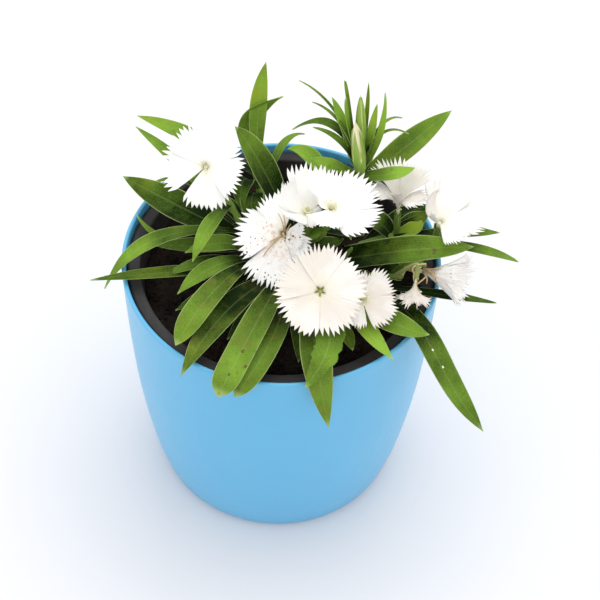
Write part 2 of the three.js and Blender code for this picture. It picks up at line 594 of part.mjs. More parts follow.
// Each bloom: its stem and where its stalk leaves it, its middle, the way it faces, and
// its petals as [angle in degrees, length, lift above the bloom's plane in degrees].
const BLOOMS = [
  {
    name: 'bloom_left', stem: 'leafy_stem_left', at: 1, centre: [-34, 16, 40], lean: 38, toward: -100,
    petals: [[180, 20, 5], [270, 20, -12], [338, 18, 2], [54, 19, 8], [118, 20, 8]],
  },
  {
    name: 'bloom_middle', stem: 'leafy_stem_middle', at: 1, centre: [10.5, -3, 34], lean: 4, toward: 20,
    petals: [[87, 23, 30], [159, 18, 46], [231, 17, 32], [293, 13, 22], [15, 7, 2]],
  },
  {
    name: 'bloom_top', stem: 'leafy_stem_middle', at: 0.7, centre: [20.3, -5, 40], lean: 8, toward: 10,
    petals: [[108, 19, 22], [36, 22.5, 20], [-34, 23, 14], [-104, 17, 16], [176, 8, 34]],
  },
  {
    name: 'bloom_spent', stem: 'leafy_stem_front_left', at: 1, centre: [0.4, -7, 25], lean: 40, toward: -125,
    petals: [[103, 21, -12], [174, 23, 4], [247, 26, 0], [306, 16, -3], [345, 11.5, 6]],
  },
  {
    name: 'bloom_front', stem: 'leafy_stem_front', at: 1, centre: [17, -41, 28], lean: 38, toward: -92,
    petals: evenPetals(15, 20.5, 5),
  },
  {
    name: 'bloom_front_right', stem: 'leafy_stem_front_right', at: 1, centre: [35, -37, 19],
    lean: 38, toward: -66,
    petals: [[40, 15.5, 6], [-24, 16, 8], [-112, 13, 2], [112, 12.5, 10], [184, 11, 0]],
  },
  {
    name: 'bloom_back_right', stem: 'leafy_stem_right', at: 1, centre: [49.7, 12.2, 22.5],
    lean: 10, toward: 90, flare: 75,
    petals: [[-30, 15.8, 32], [42, 22, 48], [114, 23, 46], [186, 18, 36], [258, 17, 58]],
  },
  {
    name: 'bloom_right', stem: 'leafy_stem_right', at: 0.8, centre: [67.6, 4.2, 24], lean: 5, toward: 60,
    petals: [[-64, 17, 6], [11, 20.5, 4], [76, 21, 18], [148, 17, 80], [215, 8, 60]],
  },
  {
    name: 'bloom_low_right', stem: 'leafy_stem_low_right', at: 1, centre: [61.6, -12.8, 10],
    lean: 82, toward: -20, faded: true, flare: 64,
    petals: [[36, 22.5, 62], [108, 23, 58], [180, 20, 64], [252, 23, 58], [324, 22.5, 60]],
  },
  {
    name: 'bloom_hanging', stem: 'leafy_stem_low_right', at: 0.9, centre: [57.5, -25, 16],
    lean: 150, toward: -100, faded: true, flare: 75,
    petals: [[10, 11, 42], [82, 11, 42], [154, 11, 42], [226, 11, 46], [298, 11, 46]],
  },
];

// Two closed buds on the back stem: the foot of each, its tip, its greatest radius, and the
// share of its length at which its petals leave the sepals.
const BUDS = [
  {
    name: 'bud_petals_front', stem: 'leafy_stem_back', foot: [33, 20, 34], tip: [29.1, 22.5, 65],
    radius: 3, opening: 0.72,
  },
  {
    name: 'bud_petals_back', stem: 'leafy_stem_back', foot: [33, 22.5, 34], tip: [31, 30.5, 73],
    radius: 2.6, opening: 0.82,
  },
];

// ---------------------------------------------------------------- assembly

const footDepth = -SOIL_DROP - STEM_DEPTH;
const footTop = -SOIL_DROP + SOIL_HEAP + SOIL_LUMP + STEM_RISE;

function stemHole({ foot: [x, y] }) {
  const low = footDepth - SOIL_GAP;
  const radius = (STEM_RADIUS + SOIL_GAP) / Math.cos(Math.PI / SIDES_HOLE);
  const hole = new THREE.CylinderGeometry(radius, radius, footTop - low, SIDES_HOLE);
  hole.rotateX(Math.PI / 2);
  hole.translate(x, y, POT_HEIGHT + (footTop + low) / 2);
  return solidOf(hole);
}

function stemCurve({ foot: [x, y], bend, top }) {
  const start = place([x, y, footTop - STEM_RISE / 2]);
  return new THREE.QuadraticBezierCurve3(start, place([x, y, bend]), place(top));
}

function stalk(stemLine, bloom) {
  const reach = bloom.faded ? FADED_STALK_REACH : STALK_REACH;
  const start = stemLine.getPoint(bloom.at);
  const down = facing(bloom).multiplyScalar(-1);
  const end = place(bloom.centre).addScaledVector(down, calyxLength(bloom) - 1);
  const control = end.clone().addScaledVector(down, start.distanceTo(end) * reach);
  return bar(new THREE.QuadraticBezierCurve3(start, control, end), STALK_RADIUS, STALK_STEPS);
}

function leafyStem(stem) {
  const [x, y] = stem.foot;
  const line = stemCurve(stem);
  const buried = new THREE.LineCurve3(place([x, y, footDepth]), place([x, y, footTop]));
  const pieces = [bar(buried, STEM_RADIUS, 1), bar(line, STEM_RADIUS, STEM_STEPS)];
  stem.leaves.forEach((leaf) => pieces.push(leafBlade(line.getPoint(leaf.at), leaf)));
  BLOOMS.filter((bloom) => bloom.stem === stem.name).forEach((bloom) => {
    pieces.push(stalk(line, bloom), calyx(bloom));
  });
  BUDS.filter((bud) => bud.stem === stem.name).forEach((bud) => pieces.push(budSepals(bud)));
  return joined(pieces);
}

const plant = new THREE.Group();
plant.add(meshOf('cachepot', cachepot(), SKY_BLUE));
plant.add(meshOf('nursery_pot', nurseryPot(), CHARCOAL));
plant.add(meshOf('soil', soil(STEMS), SOIL_BROWN));
STEMS.forEach((stem) => plant.add(meshOf(stem.name, leafyStem(stem), LEAF_GREEN)));
BLOOMS.forEach((bloom) => {
  plant.add(meshOf(bloom.name, corolla(bloom), bloom.faded ? PETAL_FADED : PETAL_WHITE));
});
BUDS.forEach((bud) => plant.add(meshOf(bud.name, budPetals(bud), BUD_CREAM)));

export default plant;
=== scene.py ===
import math

import bpy
import numpy as np
from bpy.props import FloatProperty, FloatVectorProperty, IntProperty, PointerProperty
from mathutils import Color, Matrix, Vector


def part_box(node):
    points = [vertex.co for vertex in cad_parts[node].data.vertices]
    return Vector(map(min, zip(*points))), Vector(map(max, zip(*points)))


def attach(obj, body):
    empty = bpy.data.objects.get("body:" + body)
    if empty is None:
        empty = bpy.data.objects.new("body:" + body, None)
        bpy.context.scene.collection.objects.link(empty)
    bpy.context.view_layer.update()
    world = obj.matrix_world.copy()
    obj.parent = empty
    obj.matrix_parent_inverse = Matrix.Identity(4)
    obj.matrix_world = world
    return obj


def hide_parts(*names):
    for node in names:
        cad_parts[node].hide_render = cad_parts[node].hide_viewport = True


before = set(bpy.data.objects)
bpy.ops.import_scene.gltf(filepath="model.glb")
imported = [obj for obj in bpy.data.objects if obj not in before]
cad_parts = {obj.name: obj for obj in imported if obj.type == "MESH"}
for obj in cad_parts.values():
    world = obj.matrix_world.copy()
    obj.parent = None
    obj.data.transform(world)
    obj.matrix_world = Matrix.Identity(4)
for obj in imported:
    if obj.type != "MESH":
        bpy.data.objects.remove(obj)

bl_info = {
    "name": "Potted dianthus",
    "version": (1, 0, 0),
    "blender": (4, 5, 0),
    "location": "3D View > Sidebar > Dianthus",
    "description": "Grows a dianthus with fringed blooms in a nursery pot and a cachepot",
    "category": "Add Mesh",
}

# All shapes are worked out in millimetres, from the pot's axis and its underside.
# The plant's rows give their heights from the cachepot's rim.
MM = 0.001
POT_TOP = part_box("cachepot")[1]

# ---------------------------------------------------------------- settings


def length(name, description, default):
    return FloatProperty(name=name, description=description, default=default, unit="LENGTH", precision=4)


def colour(name, description, default):
    return FloatVectorProperty(
        name=name, description=description, default=default, subtype="COLOR", size=3, min=0, max=1)


class PotSettings(bpy.types.PropertyGroup):
    height: length("Pot height", "Height of the cachepot's rim", POT_TOP.z)
    radius: length("Pot radius", "Outside radius of the cachepot at its rim", POT_TOP.x)
    wall: length("Rim wall", "Thickness of the cachepot's wall", 0.0019)
    lip: length("Nursery lip", "Width of the nursery pot's lip", 0.006)
    glaze: colour("Glaze", "Sky blue of the cachepot", (0.1, 0.43, 0.7))
    plastic: colour("Plastic", "Charcoal of the nursery pot", (0.024, 0.022, 0.023))
    earth: colour("Soil", "Colour of the moist soil", (0.006, 0.0045, 0.0035))


class PlantSettings(bpy.types.PropertyGroup):
    stem_radius: length("Stem radius", "Radius of a leafy stem", 0.0013)
    stalk_radius: length("Stalk radius", "Radius of a flower stalk", 0.0009)
    leaf_thickness: length("Leaf thickness", "Thickness of a leaf at its midrib", 0.001)
    petal_thickness: length("Petal thickness", "Thickness of a petal near the throat", 0.0006)
    teeth: IntProperty(name="Teeth", description="Teeth along the fringe of a petal", default=12, min=6, max=20)
    leaf_light: colour("Leaf, light", "Green of the brightest leaves", (0.24, 0.42, 0.045))
    leaf_dark: colour("Leaf, dark", "Green of the darkest leaves", (0.005, 0.018, 0.001))
    margin: colour("Leaf margin", "Pale edge of a leaf", (0.55, 0.68, 0.26))
    white: colour("Petal", "White of a fresh petal", (0.97, 0.965, 0.955))
    faded: colour("Faded petal", "Cream of a drying petal", (0.8, 0.68, 0.5))
    throat: colour("Throat", "Green of a bloom's throat", (0.42, 0.45, 0.08))
    dry: colour("Dry brown", "Brown of wilted and dried parts", (0.12, 0.05, 0.02))
    bud: colour("Bud", "Cream of the furled petals", (0.8, 0.74, 0.5))


class StageSettings(bpy.types.PropertyGroup):
    floor: colour("Floor", "Plain pale floor", (0.79, 0.78, 0.8))
    sky: FloatProperty(name="Sky", description="Strength of the even light from all round", default=1.2)
    lamp: FloatProperty(name="Softbox", description="Power of the large lamp overhead", default=4.2, unit="POWER")
    place: FloatVectorProperty(
        name="Camera place", description="Where the camera stands", size=3, unit="LENGTH",
        default=(0.00874, -0.6838, 0.92475))
    tilt: FloatProperty(
        name="Tilt", description="Camera's turn up from looking straight down", subtype="ANGLE",
        default=math.radians(39.67))
    roll: FloatProperty(
        name="Roll", description="Camera's turn about its own view", subtype="ANGLE",
        default=math.radians(2.22))
    lens: FloatProperty(name="Lens", description="Focal length in millimetres", default=144)


# ---------------------------------------------------------------- the plant's layout


# Places in a leafy stem's list of finishes, and in a bloom's.
BLADE, GREEN, SCAB, HOLE = range(4)
PETAL, THROAT, STYLE, DRIED, WILTED = range(5)

# What a leaf's row holds unless it says otherwise. Roll and twist are degrees about the midrib, sway moves it
# sideways, base is the width at the stem as a share of the greatest, blunt is how late the leaf narrows, ragged
# tears its edges and wear browns it. Tone goes from dark to light, and a leaf without one draws it by chance; the
# dark tones given to low and inner leaves are painted shade, for the shade they lie in.
# Spots are (share of the length, place across, radius, finish).
LEAF = dict(roll=0, twist=0, sway=0, base=0.24, blunt=2.4, ragged=0, wear=0.0, spots=())


def leaf(at, middle, tip, width, **more):
    """A leaf's row: where it leaves the stem, its middle, its tip and its greatest width."""
    return dict(LEAF, at=at, middle=middle, tip=tip, width=width, **more)


# Each leafy stem: its foot, the height at which it starts to bend, its top, and its leaves.
# The low and inner leaves carry dark tones as painted shade.
STEMS = {
    "leafy_stem_left": ((-14, 8), 8, (-30, 22, 24), [
        leaf(0.5, (-44, 37, 15), (-68, 61, 16), 7, tone=0.6),
        leaf(0.3, (-44, 20, 8), (-72, 36, 10), 14, roll=-28, tone=0.2),
        leaf(0.6, (-42, 32, 12), (-60, 33, 8), 3.5),
        leaf(0.15, (-46, 8, -3), (-65, 20, 3), 4.5),
        leaf(0.4, (-54, -2, 12), (-77, -11, -12), 8.5, tone=0.55),
        leaf(0.2, (-36, 7, -2), (-57, 6, -1), 9, tone=0.15),
        leaf(0.75, (-31, -1, 22), (-38, -15, 13), 7.5, tone=0.6),
        leaf(0.35, (-24, 24, 4), (-34, 34, 2), 9, tone=0.1),
    ]),
    "leafy_stem_left_low": ((-12, -5), 0, (-14, -4, 10), [
        leaf(0.35, (-46, -11, 1), (-82, -19, 3), 7, tone=0.25),
        leaf(0.5, (-31, -6, 3), (-51, -13, 0), 7, tone=0.25),
        leaf(0.95, (-26, -2, 11), (-42, -4, 6), 9, roll=-10, tone=0.5),
        leaf(0.7, (-29, -14, 9), (-44, -25, 3), 9, tone=0.55),
        leaf(0.2, (-30, -17, -5), (-45, -26, -7), 7, tone=0.1),
        leaf(0.6, (-28, -31, 13), (-43, -54, 4), 11.5, blunt=6, tone=0.45, wear=0.5),
    ]),
    "leafy_stem_back_left": ((-8, 24), 4, (-14, 38, 18), [
        leaf(0.8, (-13, 54, 34), (-10, 63, 58), 8, tone=0.75),
        leaf(1, (-17, 53, 30), (-2, 56, 44), 9, twist=75, tone=0.5),
        leaf(0.9, (-41, 51, 20), (-67, 60, 24), 8.5, roll=-10, tone=0.6),
        leaf(0.5, (-3, 56, 10), (8, 68, 8), 4),
        leaf(0.7, (-18, 28, 19), (-18, 15, 13), 10, tone=0.1),
        leaf(0.6, (-14, 22, 15), (-13, 8, 10), 11, tone=0.1),
    ]),
    "leafy_stem_middle": ((4, 10), 6, (9, 2, 14), [
        leaf(0.5, (-9, 21, 33), (-22, 29, 52), 14, tone=0.3),
        leaf(0.6, (13, 2.5, 12.5), (19, 6, 14), 10, base=0.5, tone=0.95),
        leaf(0.8, (20, 8, 17), (30, 2, 12), 10, tone=0.2),
        leaf(0.25, (16, 6, 3), (27, 12, 1), 8, tone=0.1),
    ]),
    "leafy_stem_front_left": ((1, -9), -2, (3, -10, 8), [
        leaf(0.6, (-21, -35, 7), (-40, -68, 1), 13, tone=0.15, wear=0.25),
        leaf(0.7, (-8.8, -44, 10.4), (-24, -78, 1), 12.5, blunt=14, tone=0.5, wear=0.35,
             spots=[(0.8, 0.8, 0.7, SCAB), (0.87, 0, 0.8, SCAB), (0.72, 0.1, 0.9, SCAB)]),
        leaf(0.4, (-1, -46, 7), (-17, -77, 0), 10.5, blunt=10, tone=0.3, wear=0.3),
        leaf(0.2, (8, -34, -4), (9, -52, -7), 7, tone=0.1),
        leaf(0.15, (-10, -26, -3), (-22, -42, -6), 8, tone=0.1),
    ]),
    "leafy_stem_front": ((13, -18), 0, (15, -24, 10), [
        leaf(0.5, (15.8, -58, 10), (23, -76, -20), 13.5, tone=0.5, wear=0.4),
        leaf(0.9, (22, -53, 14), (12, -74, 4), 13.5, blunt=3.5, tone=0.4, ragged=0.3),
        leaf(0.3, (25, -35, 1), (32, -49, -1), 7, blunt=4, tone=0.3),
        leaf(0.2, (19, -33, -5), (24, -46, -7), 7, tone=0.1),
    ]),
    "leafy_stem_front_right": ((24, -13), 0, (29, -20, 8), [
        leaf(0.9, (35, -40, 8), (49, -57, 4), 9, base=0.5, tone=0.85),
        leaf(0.7, (45, -38, 8), (64, -46, 8), 11.5, roll=12, tone=0.5),
        leaf(0.5, (34, -13, 5), (41, -13, 3.5), 7, tone=0.15),
    ]),
    "leafy_stem_right": ((27, 5), 6, (48.5, 9, 7.5), [
        leaf(0.15, (54, -9, 19), (83, -1, 14), 13, roll=14, base=0.9, tone=0.45,
             spots=[(0.7, -0.15, 0.9, SCAB), (0.69, -0.45, 0.7, SCAB), (0.66, -0.7, 0.5, SCAB)]),
        leaf(0.98, (42, 13, 11.5), (34, 18, 12), 11, base=0.5, tone=0.3),
        leaf(1, (56, 15, 9), (64, 21, 11), 10, base=0.5, tone=0.2),
        leaf(0.93, (56, 10, 10.5), (60.5, 14.5, 12.5), 8, base=0.5, tone=0.95),
        leaf(0.9, (73, 8, 12), (95, 13, 8), 7, tone=0.3),
        leaf(0.6, (52, 20, 9), (66, 26, 8), 8, tone=0.1),
        leaf(0.95, (82, -1, 13), (104, 5, -2), 5.5, tone=0.4),
        leaf(0.1, (42, 0, 3), (57, -5, 4), 8, tone=0.05),
    ]),
    "leafy_stem_low_right": ((34, -8), -2, (52, -14, 8), [
        leaf(0.3, (65, -46.4, 0.5), (90, -63, -36), 12, sway=3, blunt=3, tone=0.35,
             spots=[(0.52, 0, 0.8, HOLE), (0.62, 0.1, 0.6, HOLE)]),
        leaf(0.3, (74.2, -18.9, 1.4), (94, -18, -3), 5.5, blunt=1.2, tone=0.15),
        leaf(0.3, (46, -10, 5), (53, -10.5, 3), 10, blunt=5, tone=0.1),
        leaf(0.8, (56, -8, 8), (63, -7, 7), 6, tone=0.8),
    ]),
    "leafy_stem_back": ((18, 20), 16, (33, 21, 34), [
        leaf(0.45, (50, 44, 24), (73, 65, 30), 11.5, roll=20, tone=0.5),
        leaf(0.97, (44.5, 16.5, 39), (56, 20.5, 39.5), 6.5, roll=20, base=0.5, tone=0.85),
        leaf(0.97, (21, 22, 37), (11, 27, 36), 6, roll=-25, tone=0.9),
        leaf(0.5, (13, 43, 17.5), (0.5, 48, 19), 7.5, roll=-20, tone=0.8),
        leaf(0.3, (30, 40, 8), (38, 52, 6), 8, tone=0.1),
        leaf(0.12, (27, 15, 3), (36, 12, 4), 9, tone=0.1),
        leaf(0.35, (10, 33, 8), (2, 44, 8), 7, tone=0.2),
        leaf(0.99, (20.3, 30.3, 53), (2.6, 32.2, 48), 5, tone=0.3),
        leaf(0.98, (23.8, 24.7, 49), (11.4, 36, 46), 3.5, tone=0.5),
        leaf(0.99, (21.6, 32.4, 58), (4.7, 44.2, 66), 1.4, tone=0.4),
        leaf(0.99, (23.8, 26.9, 57), (10.6, 39.5, 58), 1.8, tone=0.45),
        leaf(1, (25, 28, 54), (19, 33, 68), 5.5, tone=0.9),
        leaf(1, (28, 25, 44), (23, 30, 58), 5.5, base=0.5, tone=0.6),
        leaf(0.97, (26, 29.5, 68), (24, 31, 80), 2, tone=0.5),
        leaf(1, (34.2, 32.6, 57), (34, 31, 80), 2, tone=0.5),
        leaf(0.98, (25.8, 26.3, 62), (25, 25, 76), 3, tone=0.8),
        leaf(1, (36, 24, 45), (36, 28, 60), 5.5, base=0.5, tone=0.7),
        leaf(1, (36.5, 24, 56), (38, 26, 72), 4.5, tone=0.8),
        leaf(1, (40.5, 21, 60), (41, 25, 80), 5, tone=0.9),
        leaf(0.99, (39.4, 26.1, 57), (49.8, 37.8, 52), 1.6, tone=0.4),
        leaf(0.99, (40.3, 27.2, 52), (52.9, 34.2, 46), 1.6, tone=0.4),
    ]),
}


# What a bloom's row holds unless it says otherwise. Flare is how steeply its petals rise from the throat, and tint is
# its blush; on bloom_front the tint is set higher partly as painted shade, to darken its petals. Wear and slit, by a
# petal's angle, brown that petal or narrow it on both sides by so many degrees. A thread is three points round the
# bloom's middle and a radius.
BLOOM = dict(flare=0, faded=0, tint=0, wear={}, slit={}, threads=())


def bloom(stem, at, centre, lean, toward, petals, **more):
    """A bloom's row. Its petals are (angle, length, lift above the bloom's plane)."""
    return dict(BLOOM, stem=stem, at=at, centre=centre, lean=lean, toward=toward, petals=petals, **more)


BLOOMS = {
    "bloom_left": bloom("leafy_stem_left", 1, (-34, 16, 40), 38, -100, [
        (180, 20, 5), (270, 20, -12), (338, 18, 2), (54, 19, 8), (118, 20, 8)],
        heart="cream", slit={338: 1.5, 54: 1.5}),
    "bloom_middle": bloom("leafy_stem_middle", 1, (10.5, -3, 34), 4, 20, [
        (87, 23, 30), (159, 18, 46), (231, 17, 32), (293, 13, 22), (15, 7, 2)], heart="ring"),
    "bloom_top": bloom("leafy_stem_middle", 0.7, (20.3, -5, 40), 8, 10, [
        (108, 19, 22), (36, 22.5, 20), (-34, 23, 14), (-104, 17, 16), (176, 8, 34)], heart="stamens"),
    "bloom_spent": bloom("leafy_stem_front_left", 1, (0.4, -7, 25), 40, -125, [
        (103, 21, -12), (174, 23, 4), (247, 26, 0), (306, 16, -3), (345, 11.5, 6)],
        heart="wilted", wear={103: 0.2, 174: 0.7, 247: 0.6, 306: 0.8, 345: 1.0}, slit={174: 3, 247: 2}, threads=[
            ((0.5, 0.5, -1), (1.7, 4, 1.4), (1.3, 7.5, 1.2), 0.32),
            ((0, 0.5, -1), (0.6, 4.5, 1.6), (-1.2, 8.5, 1), 0.25),
            ((0.5, 0, -1), (3, 1.6, 1.4), (4.2, 3.4, 0.8), 0.3),
            ((0, -0.5, -0.6), (-4, -2.6, 1.3), (-6, -3, 0.6), 0.3),
            ((0, -0.8, -0.6), (-4.6, -4.2, 1.2), (-9.4, -9, 1), 0.4),
            ((0.3, 0, 0), (0.4, -0.6, 0.8), (1, -2, 0.8), 0.7)]),
    # Its tint is partly real blush and partly painted shade that darkens its petals.
    "bloom_front": bloom("leafy_stem_front", 1, (17, -41, 28), 38, -92, [
        (angle, 20.5, 5) for angle in range(15, 360, 72)], heart="green", slit={159: 3}, tint=0.56),
    "bloom_front_right": bloom("leafy_stem_front_right", 1, (35, -37, 19), 38, -66, [
        (40, 15.5, 6), (-24, 16, 8), (-112, 13, 2), (112, 12.5, 10), (184, 11, 0)], heart="stamens", tint=0.55),
    "bloom_back_right": bloom("leafy_stem_right", 1, (49.7, 12.2, 22.5), 10, 90, [
        (-30, 15.8, 32), (42, 22, 48), (114, 23, 46), (186, 18, 36), (258, 17, 58)],
        heart="cream", flare=75, tint=0.5),
    "bloom_right": bloom("leafy_stem_right", 0.8, (67.6, 4.2, 24), 5, 60, [
        (-54, 17, 6), (11, 20.5, 4), (76, 21, 18), (148, 17, 80), (215, 8, 60)],
        heart="plain", slit={-54: 8}, tint=0.25),
    "bloom_low_right": bloom("leafy_stem_low_right", 1, (61.6, -12.8, 10), 82, -20, [
        (36, 22.5, 62), (108, 23, 58), (180, 20, 64), (252, 23, 58), (324, 22.5, 60)],
        heart="wilted", faded=1, flare=64, tint=0.12, threads=[
            ((-2, 0.7, 0.2), (-3.4, -1.6, 5.6), (-1, -4.2, 7.4), 0.8),
            ((-2.4, 0.4, 0), (-3.6, 0.6, 4.6), (-4, 1.2, 8.4), 0.5),
            ((-1.6, -1, 0), (-3.2, -3.6, 3), (-2.2, -6, 3.4), 0.45)]),
    "bloom_hanging": bloom("leafy_stem_low_right", 0.9, (57.5, -25, 16), 150, -100, [
        (10, 11, 42), (82, 11, 42), (154, 11, 42), (226, 11, 46), (298, 11, 46)],
        heart="cream", faded=0.6, flare=75, tint=0.65, threads=[
            ((0.6, 0, 0), (-1, 0.6, -4.2), (1.6, 0, -8.2), 0.45),
            ((0.6, -0.6, 0), (2.8, 0, -2.5), (4.2, 0, -4.4), 0.4),
            ((3.4, 0, -10), (-1.9, 0.6, -7), (1.4, 0.6, -2.6), 0.4),
            ((0.4, 0, -1), (-0.6, -0.6, 2.4), (0.6, -0.8, 6), 0.35)]),
}

# The buds on the back stem. Widest is a bud's greatest radius, parting is where along it the petals leave the
# sepals, and green tints the petals.
BUDS = {
    "bud_petals_front": dict(foot=(33, 20, 34), tip=(29.1, 22.5, 65), widest=3, parting=0.72, green=0.0),
    "bud_petals_back": dict(foot=(33, 22.5, 34), tip=(31, 30.5, 73), widest=2.6, parting=0.82, green=0.8),
}

# ---------------------------------------------------------------- surfaces


def place(point):
    return np.array(point, float) + (0, 0, POT_TOP.z / MM)


def unit(vectors):
    return vectors / np.linalg.norm(vectors, axis=-1, keepdims=True)


def curved(x, xs, ys):
    """Smooth curve through points: a cubic in each span, its slopes taken from the neighbours."""
    xs, ys = np.array(xs, float), np.array(ys, float)
    slopes = np.gradient(ys, xs)
    span = np.clip(np.searchsorted(xs, x) - 1, 0, len(xs) - 2)
    width = xs[span + 1] - xs[span]
    t = (x - xs[span]) / width
    return ((1 + 2 * t) * (1 - t) ** 2 * ys[span] + t * (1 - t) ** 2 * width * slopes[span]
            + t * t * (3 - 2 * t) * ys[span + 1] + t * t * (t - 1) * width * slopes[span + 1])


def arc(start, control, end, t):
    """Points of the quadratic curve (1-t)^2 start + 2t(1-t) control + t^2 end, and its heading."""
    t = np.asarray(t, float)[:, None]
    points = (1 - t) ** 2 * start + 2 * t * (1 - t) * control + t * t * end
    return points, unit((1 - t) * (control - start) + t * (end - control) + 1e-9)


def rounded(profile, reach, steps=4):
    """Eases each corner: it becomes a quadratic curve from `reach` before it to `reach` after."""
    points = np.array(profile, float)
    corner = points[1:-1]

    def toward(other):
        gap = other - corner
        size = np.linalg.norm(gap, axis=1, keepdims=True)
        return corner + gap / size * np.minimum(reach, 0.48 * size)

    start, end = toward(points[:-2]), toward(points[2:])
    t = np.linspace(0, 1, steps)[None, :, None]
    curve = (1 - t) ** 2 * start[:, None] + 2 * t * (1 - t) * corner[:, None] + t * t * end[:, None]
    return np.concatenate([points[:1], curve.reshape(-1, 2), points[-1:]])


def turned(profile, sides):
    """Profile (r, h) turned about the upright axis: (r cos a, r sin a, h)."""
    angle = np.linspace(0, 2 * math.pi, sides, endpoint=False)
    radius, height = profile[:, 0, None], profile[:, 1, None]
    return np.stack([radius * np.cos(angle), radius * np.sin(angle), height + 0 * angle], -1)


def tube(path, heading, radius, sides):
    """Rings of the given radius square to a flat path, at each of its points."""
    plane = np.cross(path[len(path) // 2] - path[0], path[-1] - path[0])
    if np.linalg.norm(plane) < 1e-6:
        plane = np.cross(heading[0], (0.3, 0.9, 0.2))
    first = unit(np.cross(unit(plane), heading))
    second = np.cross(heading, first)
    angle = np.linspace(0, 2 * math.pi, sides, endpoint=False)[None, :, None]
    radius = np.broadcast_to(radius, len(path))[:, None, None]
    return path[:, None] + radius * (np.cos(angle) * first[:, None] + np.sin(angle) * second[:, None])


def ripple(u, v, seed):
    """Smooth uneven waves of two parameters: three sines that never line up."""
    return (np.sin(2.1 * u + 1.3 * v + seed) + np.sin(-1.7 * u + 3.1 * v + 2.3 * seed)
            + np.sin(4.3 * u + 0.7 * v + 3.7 * seed)) / 3


def skin(rings, uv=None, marks=(0.5, 0, 0), finish=0, flat=False):
    """Closed skin over rings of points: quads between neighbours, and both end rings filled.

    A flat ring runs along an upper face and back along a lower one, and is filled across. Marks are a blade's
    tone, its underside, green or seams, and its wear.
    """
    rows, cols = rings.shape[:2]
    if uv is None:
        uv = np.stack(np.meshgrid(np.linspace(0, 1, rows), np.linspace(0, 1, cols + 1), indexing="ij"), -1)
    index = np.arange(rows * cols).reshape(rows, cols)
    around = np.concatenate([index, index[:, :1]], 1)

    def corners(grid):
        return np.stack([grid[:-1, :-1], grid[:-1, 1:], grid[1:, 1:], grid[1:, :-1]], 2)

    points = rings.reshape(-1, 3)
    marks = np.broadcast_to(marks, rings.shape).reshape(-1, 3)
    tris, tri_uv = [], []
    for row, turn in ((0, -1), (rows - 1, 1)):
        if flat:
            upper = np.arange(cols // 2 + 1)
            lower = cols - upper
            fill = np.concatenate([
                np.stack([upper[:-1], upper[1:], lower[1:]], 1),
                np.stack([upper[:-1], lower[1:], lower[:-1]], 1)])
            faces = around[row][fill]
            whole = (faces[:, 0] != faces[:, 1]) & (faces[:, 1] != faces[:, 2]) & (faces[:, 0] != faces[:, 2])
            faces, fill_uv = faces[whole], uv[row][fill[whole]]
        else:
            middle = len(points)
            points = np.concatenate([points, rings[row].mean(0)[None]])
            marks = np.concatenate([marks, marks[row * cols][None]])
            faces = np.stack([np.full(cols, middle), around[row][:-1], around[row][1:]], 1)
            fill_uv = np.stack([np.broadcast_to(uv[row].mean(0), (cols, 2)), uv[row][:-1], uv[row][1:]], 1)
        tris.append(faces[:, ::turn])
        tri_uv.append(fill_uv[:, ::turn])
    return dict(
        points=points, marks=marks, quads=corners(around).reshape(-1, 4),
        quad_uv=corners(uv).reshape(-1, 4, 2), tris=np.concatenate(tris),
        tri_uv=np.concatenate(tri_uv), finish=finish)


def piece(name, parts, finishes, node):
    """Joins skins into one mesh at the origin, which rides on the root and replaces a CAD node."""
    starts = np.cumsum([0] + [len(part["points"]) for part in parts])
    quads = np.concatenate([part["quads"] + start for part, start in zip(parts, starts)])
    tris = np.concatenate([part["tris"] + start for part, start in zip(parts, starts)])
    finish = np.concatenate(
        [np.full(len(part["quads"]), part["finish"]) for part in parts]
        + [np.full(len(part["tris"]), part["finish"]) for part in parts])
    uv = np.concatenate(
        [part["quad_uv"].reshape(-1, 2) for part in parts] + [part["tri_uv"].reshape(-1, 2) for part in parts])
    points = np.concatenate([part["points"] for part in parts]) * MM
    mesh = bpy.data.meshes.new(name)
    mesh.vertices.add(len(points))
    mesh.vertices.foreach_set("co", points.ravel())
    mesh.loops.add(quads.size + tris.size)
    mesh.loops.foreach_set("vertex_index", np.concatenate([quads.ravel(), tris.ravel()]))
    mesh.polygons.add(len(quads) + len(tris))
    mesh.polygons.foreach_set("loop_start", np.concatenate(
        [np.arange(len(quads)) * 4, quads.size + np.arange(len(tris)) * 3]))
    mesh.polygons.foreach_set("material_index", finish)
    mesh.polygons.foreach_set("use_smooth", np.ones(len(finish), bool))
    mesh.update(calc_edges=True)
    mesh.uv_layers.new(name="UVMap").data.foreach_set("uv", uv.ravel())
    mesh.attributes.new("growth", "FLOAT_VECTOR", "POINT").data.foreach_set(
        "vector", np.concatenate([part["marks"] for part in parts]).ravel())
    mesh.validate()
    made = bpy.data.objects.new(name, mesh)
    bpy.context.scene.collection.objects.link(made)
    for material in finishes:
        mesh.materials.append(material)
    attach(made, "root")
    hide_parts(node)


# ---------------------------------------------------------------- leaves and stems

# Points across a leaf, rings along it, and tears along a ragged edge.
LEAF_COLUMNS, LEAF_RINGS, TEARS = 15, 36, 24

# A calyx's length from the bloom's middle down, fresh and faded.
CALYX, FADED_CALYX = 14, 9

# Heights from the rim: where a stem's path starts, and the ends of its straight piece in the soil.
STEM_START, BURIED = -8.9, (-24, -8)


def leaf_width(share, base, blunt):
    """Width as a share of the greatest: rises as a sine from the base, falls by a power to the tip."""
    rise = np.sin(math.pi / 2 * np.minimum(1, share / 0.6))
    fall = np.maximum(0, (share - 0.45) / 0.55)
    return (base + (1 - base) * rise ** 1.2) * (1 - fall ** blunt)


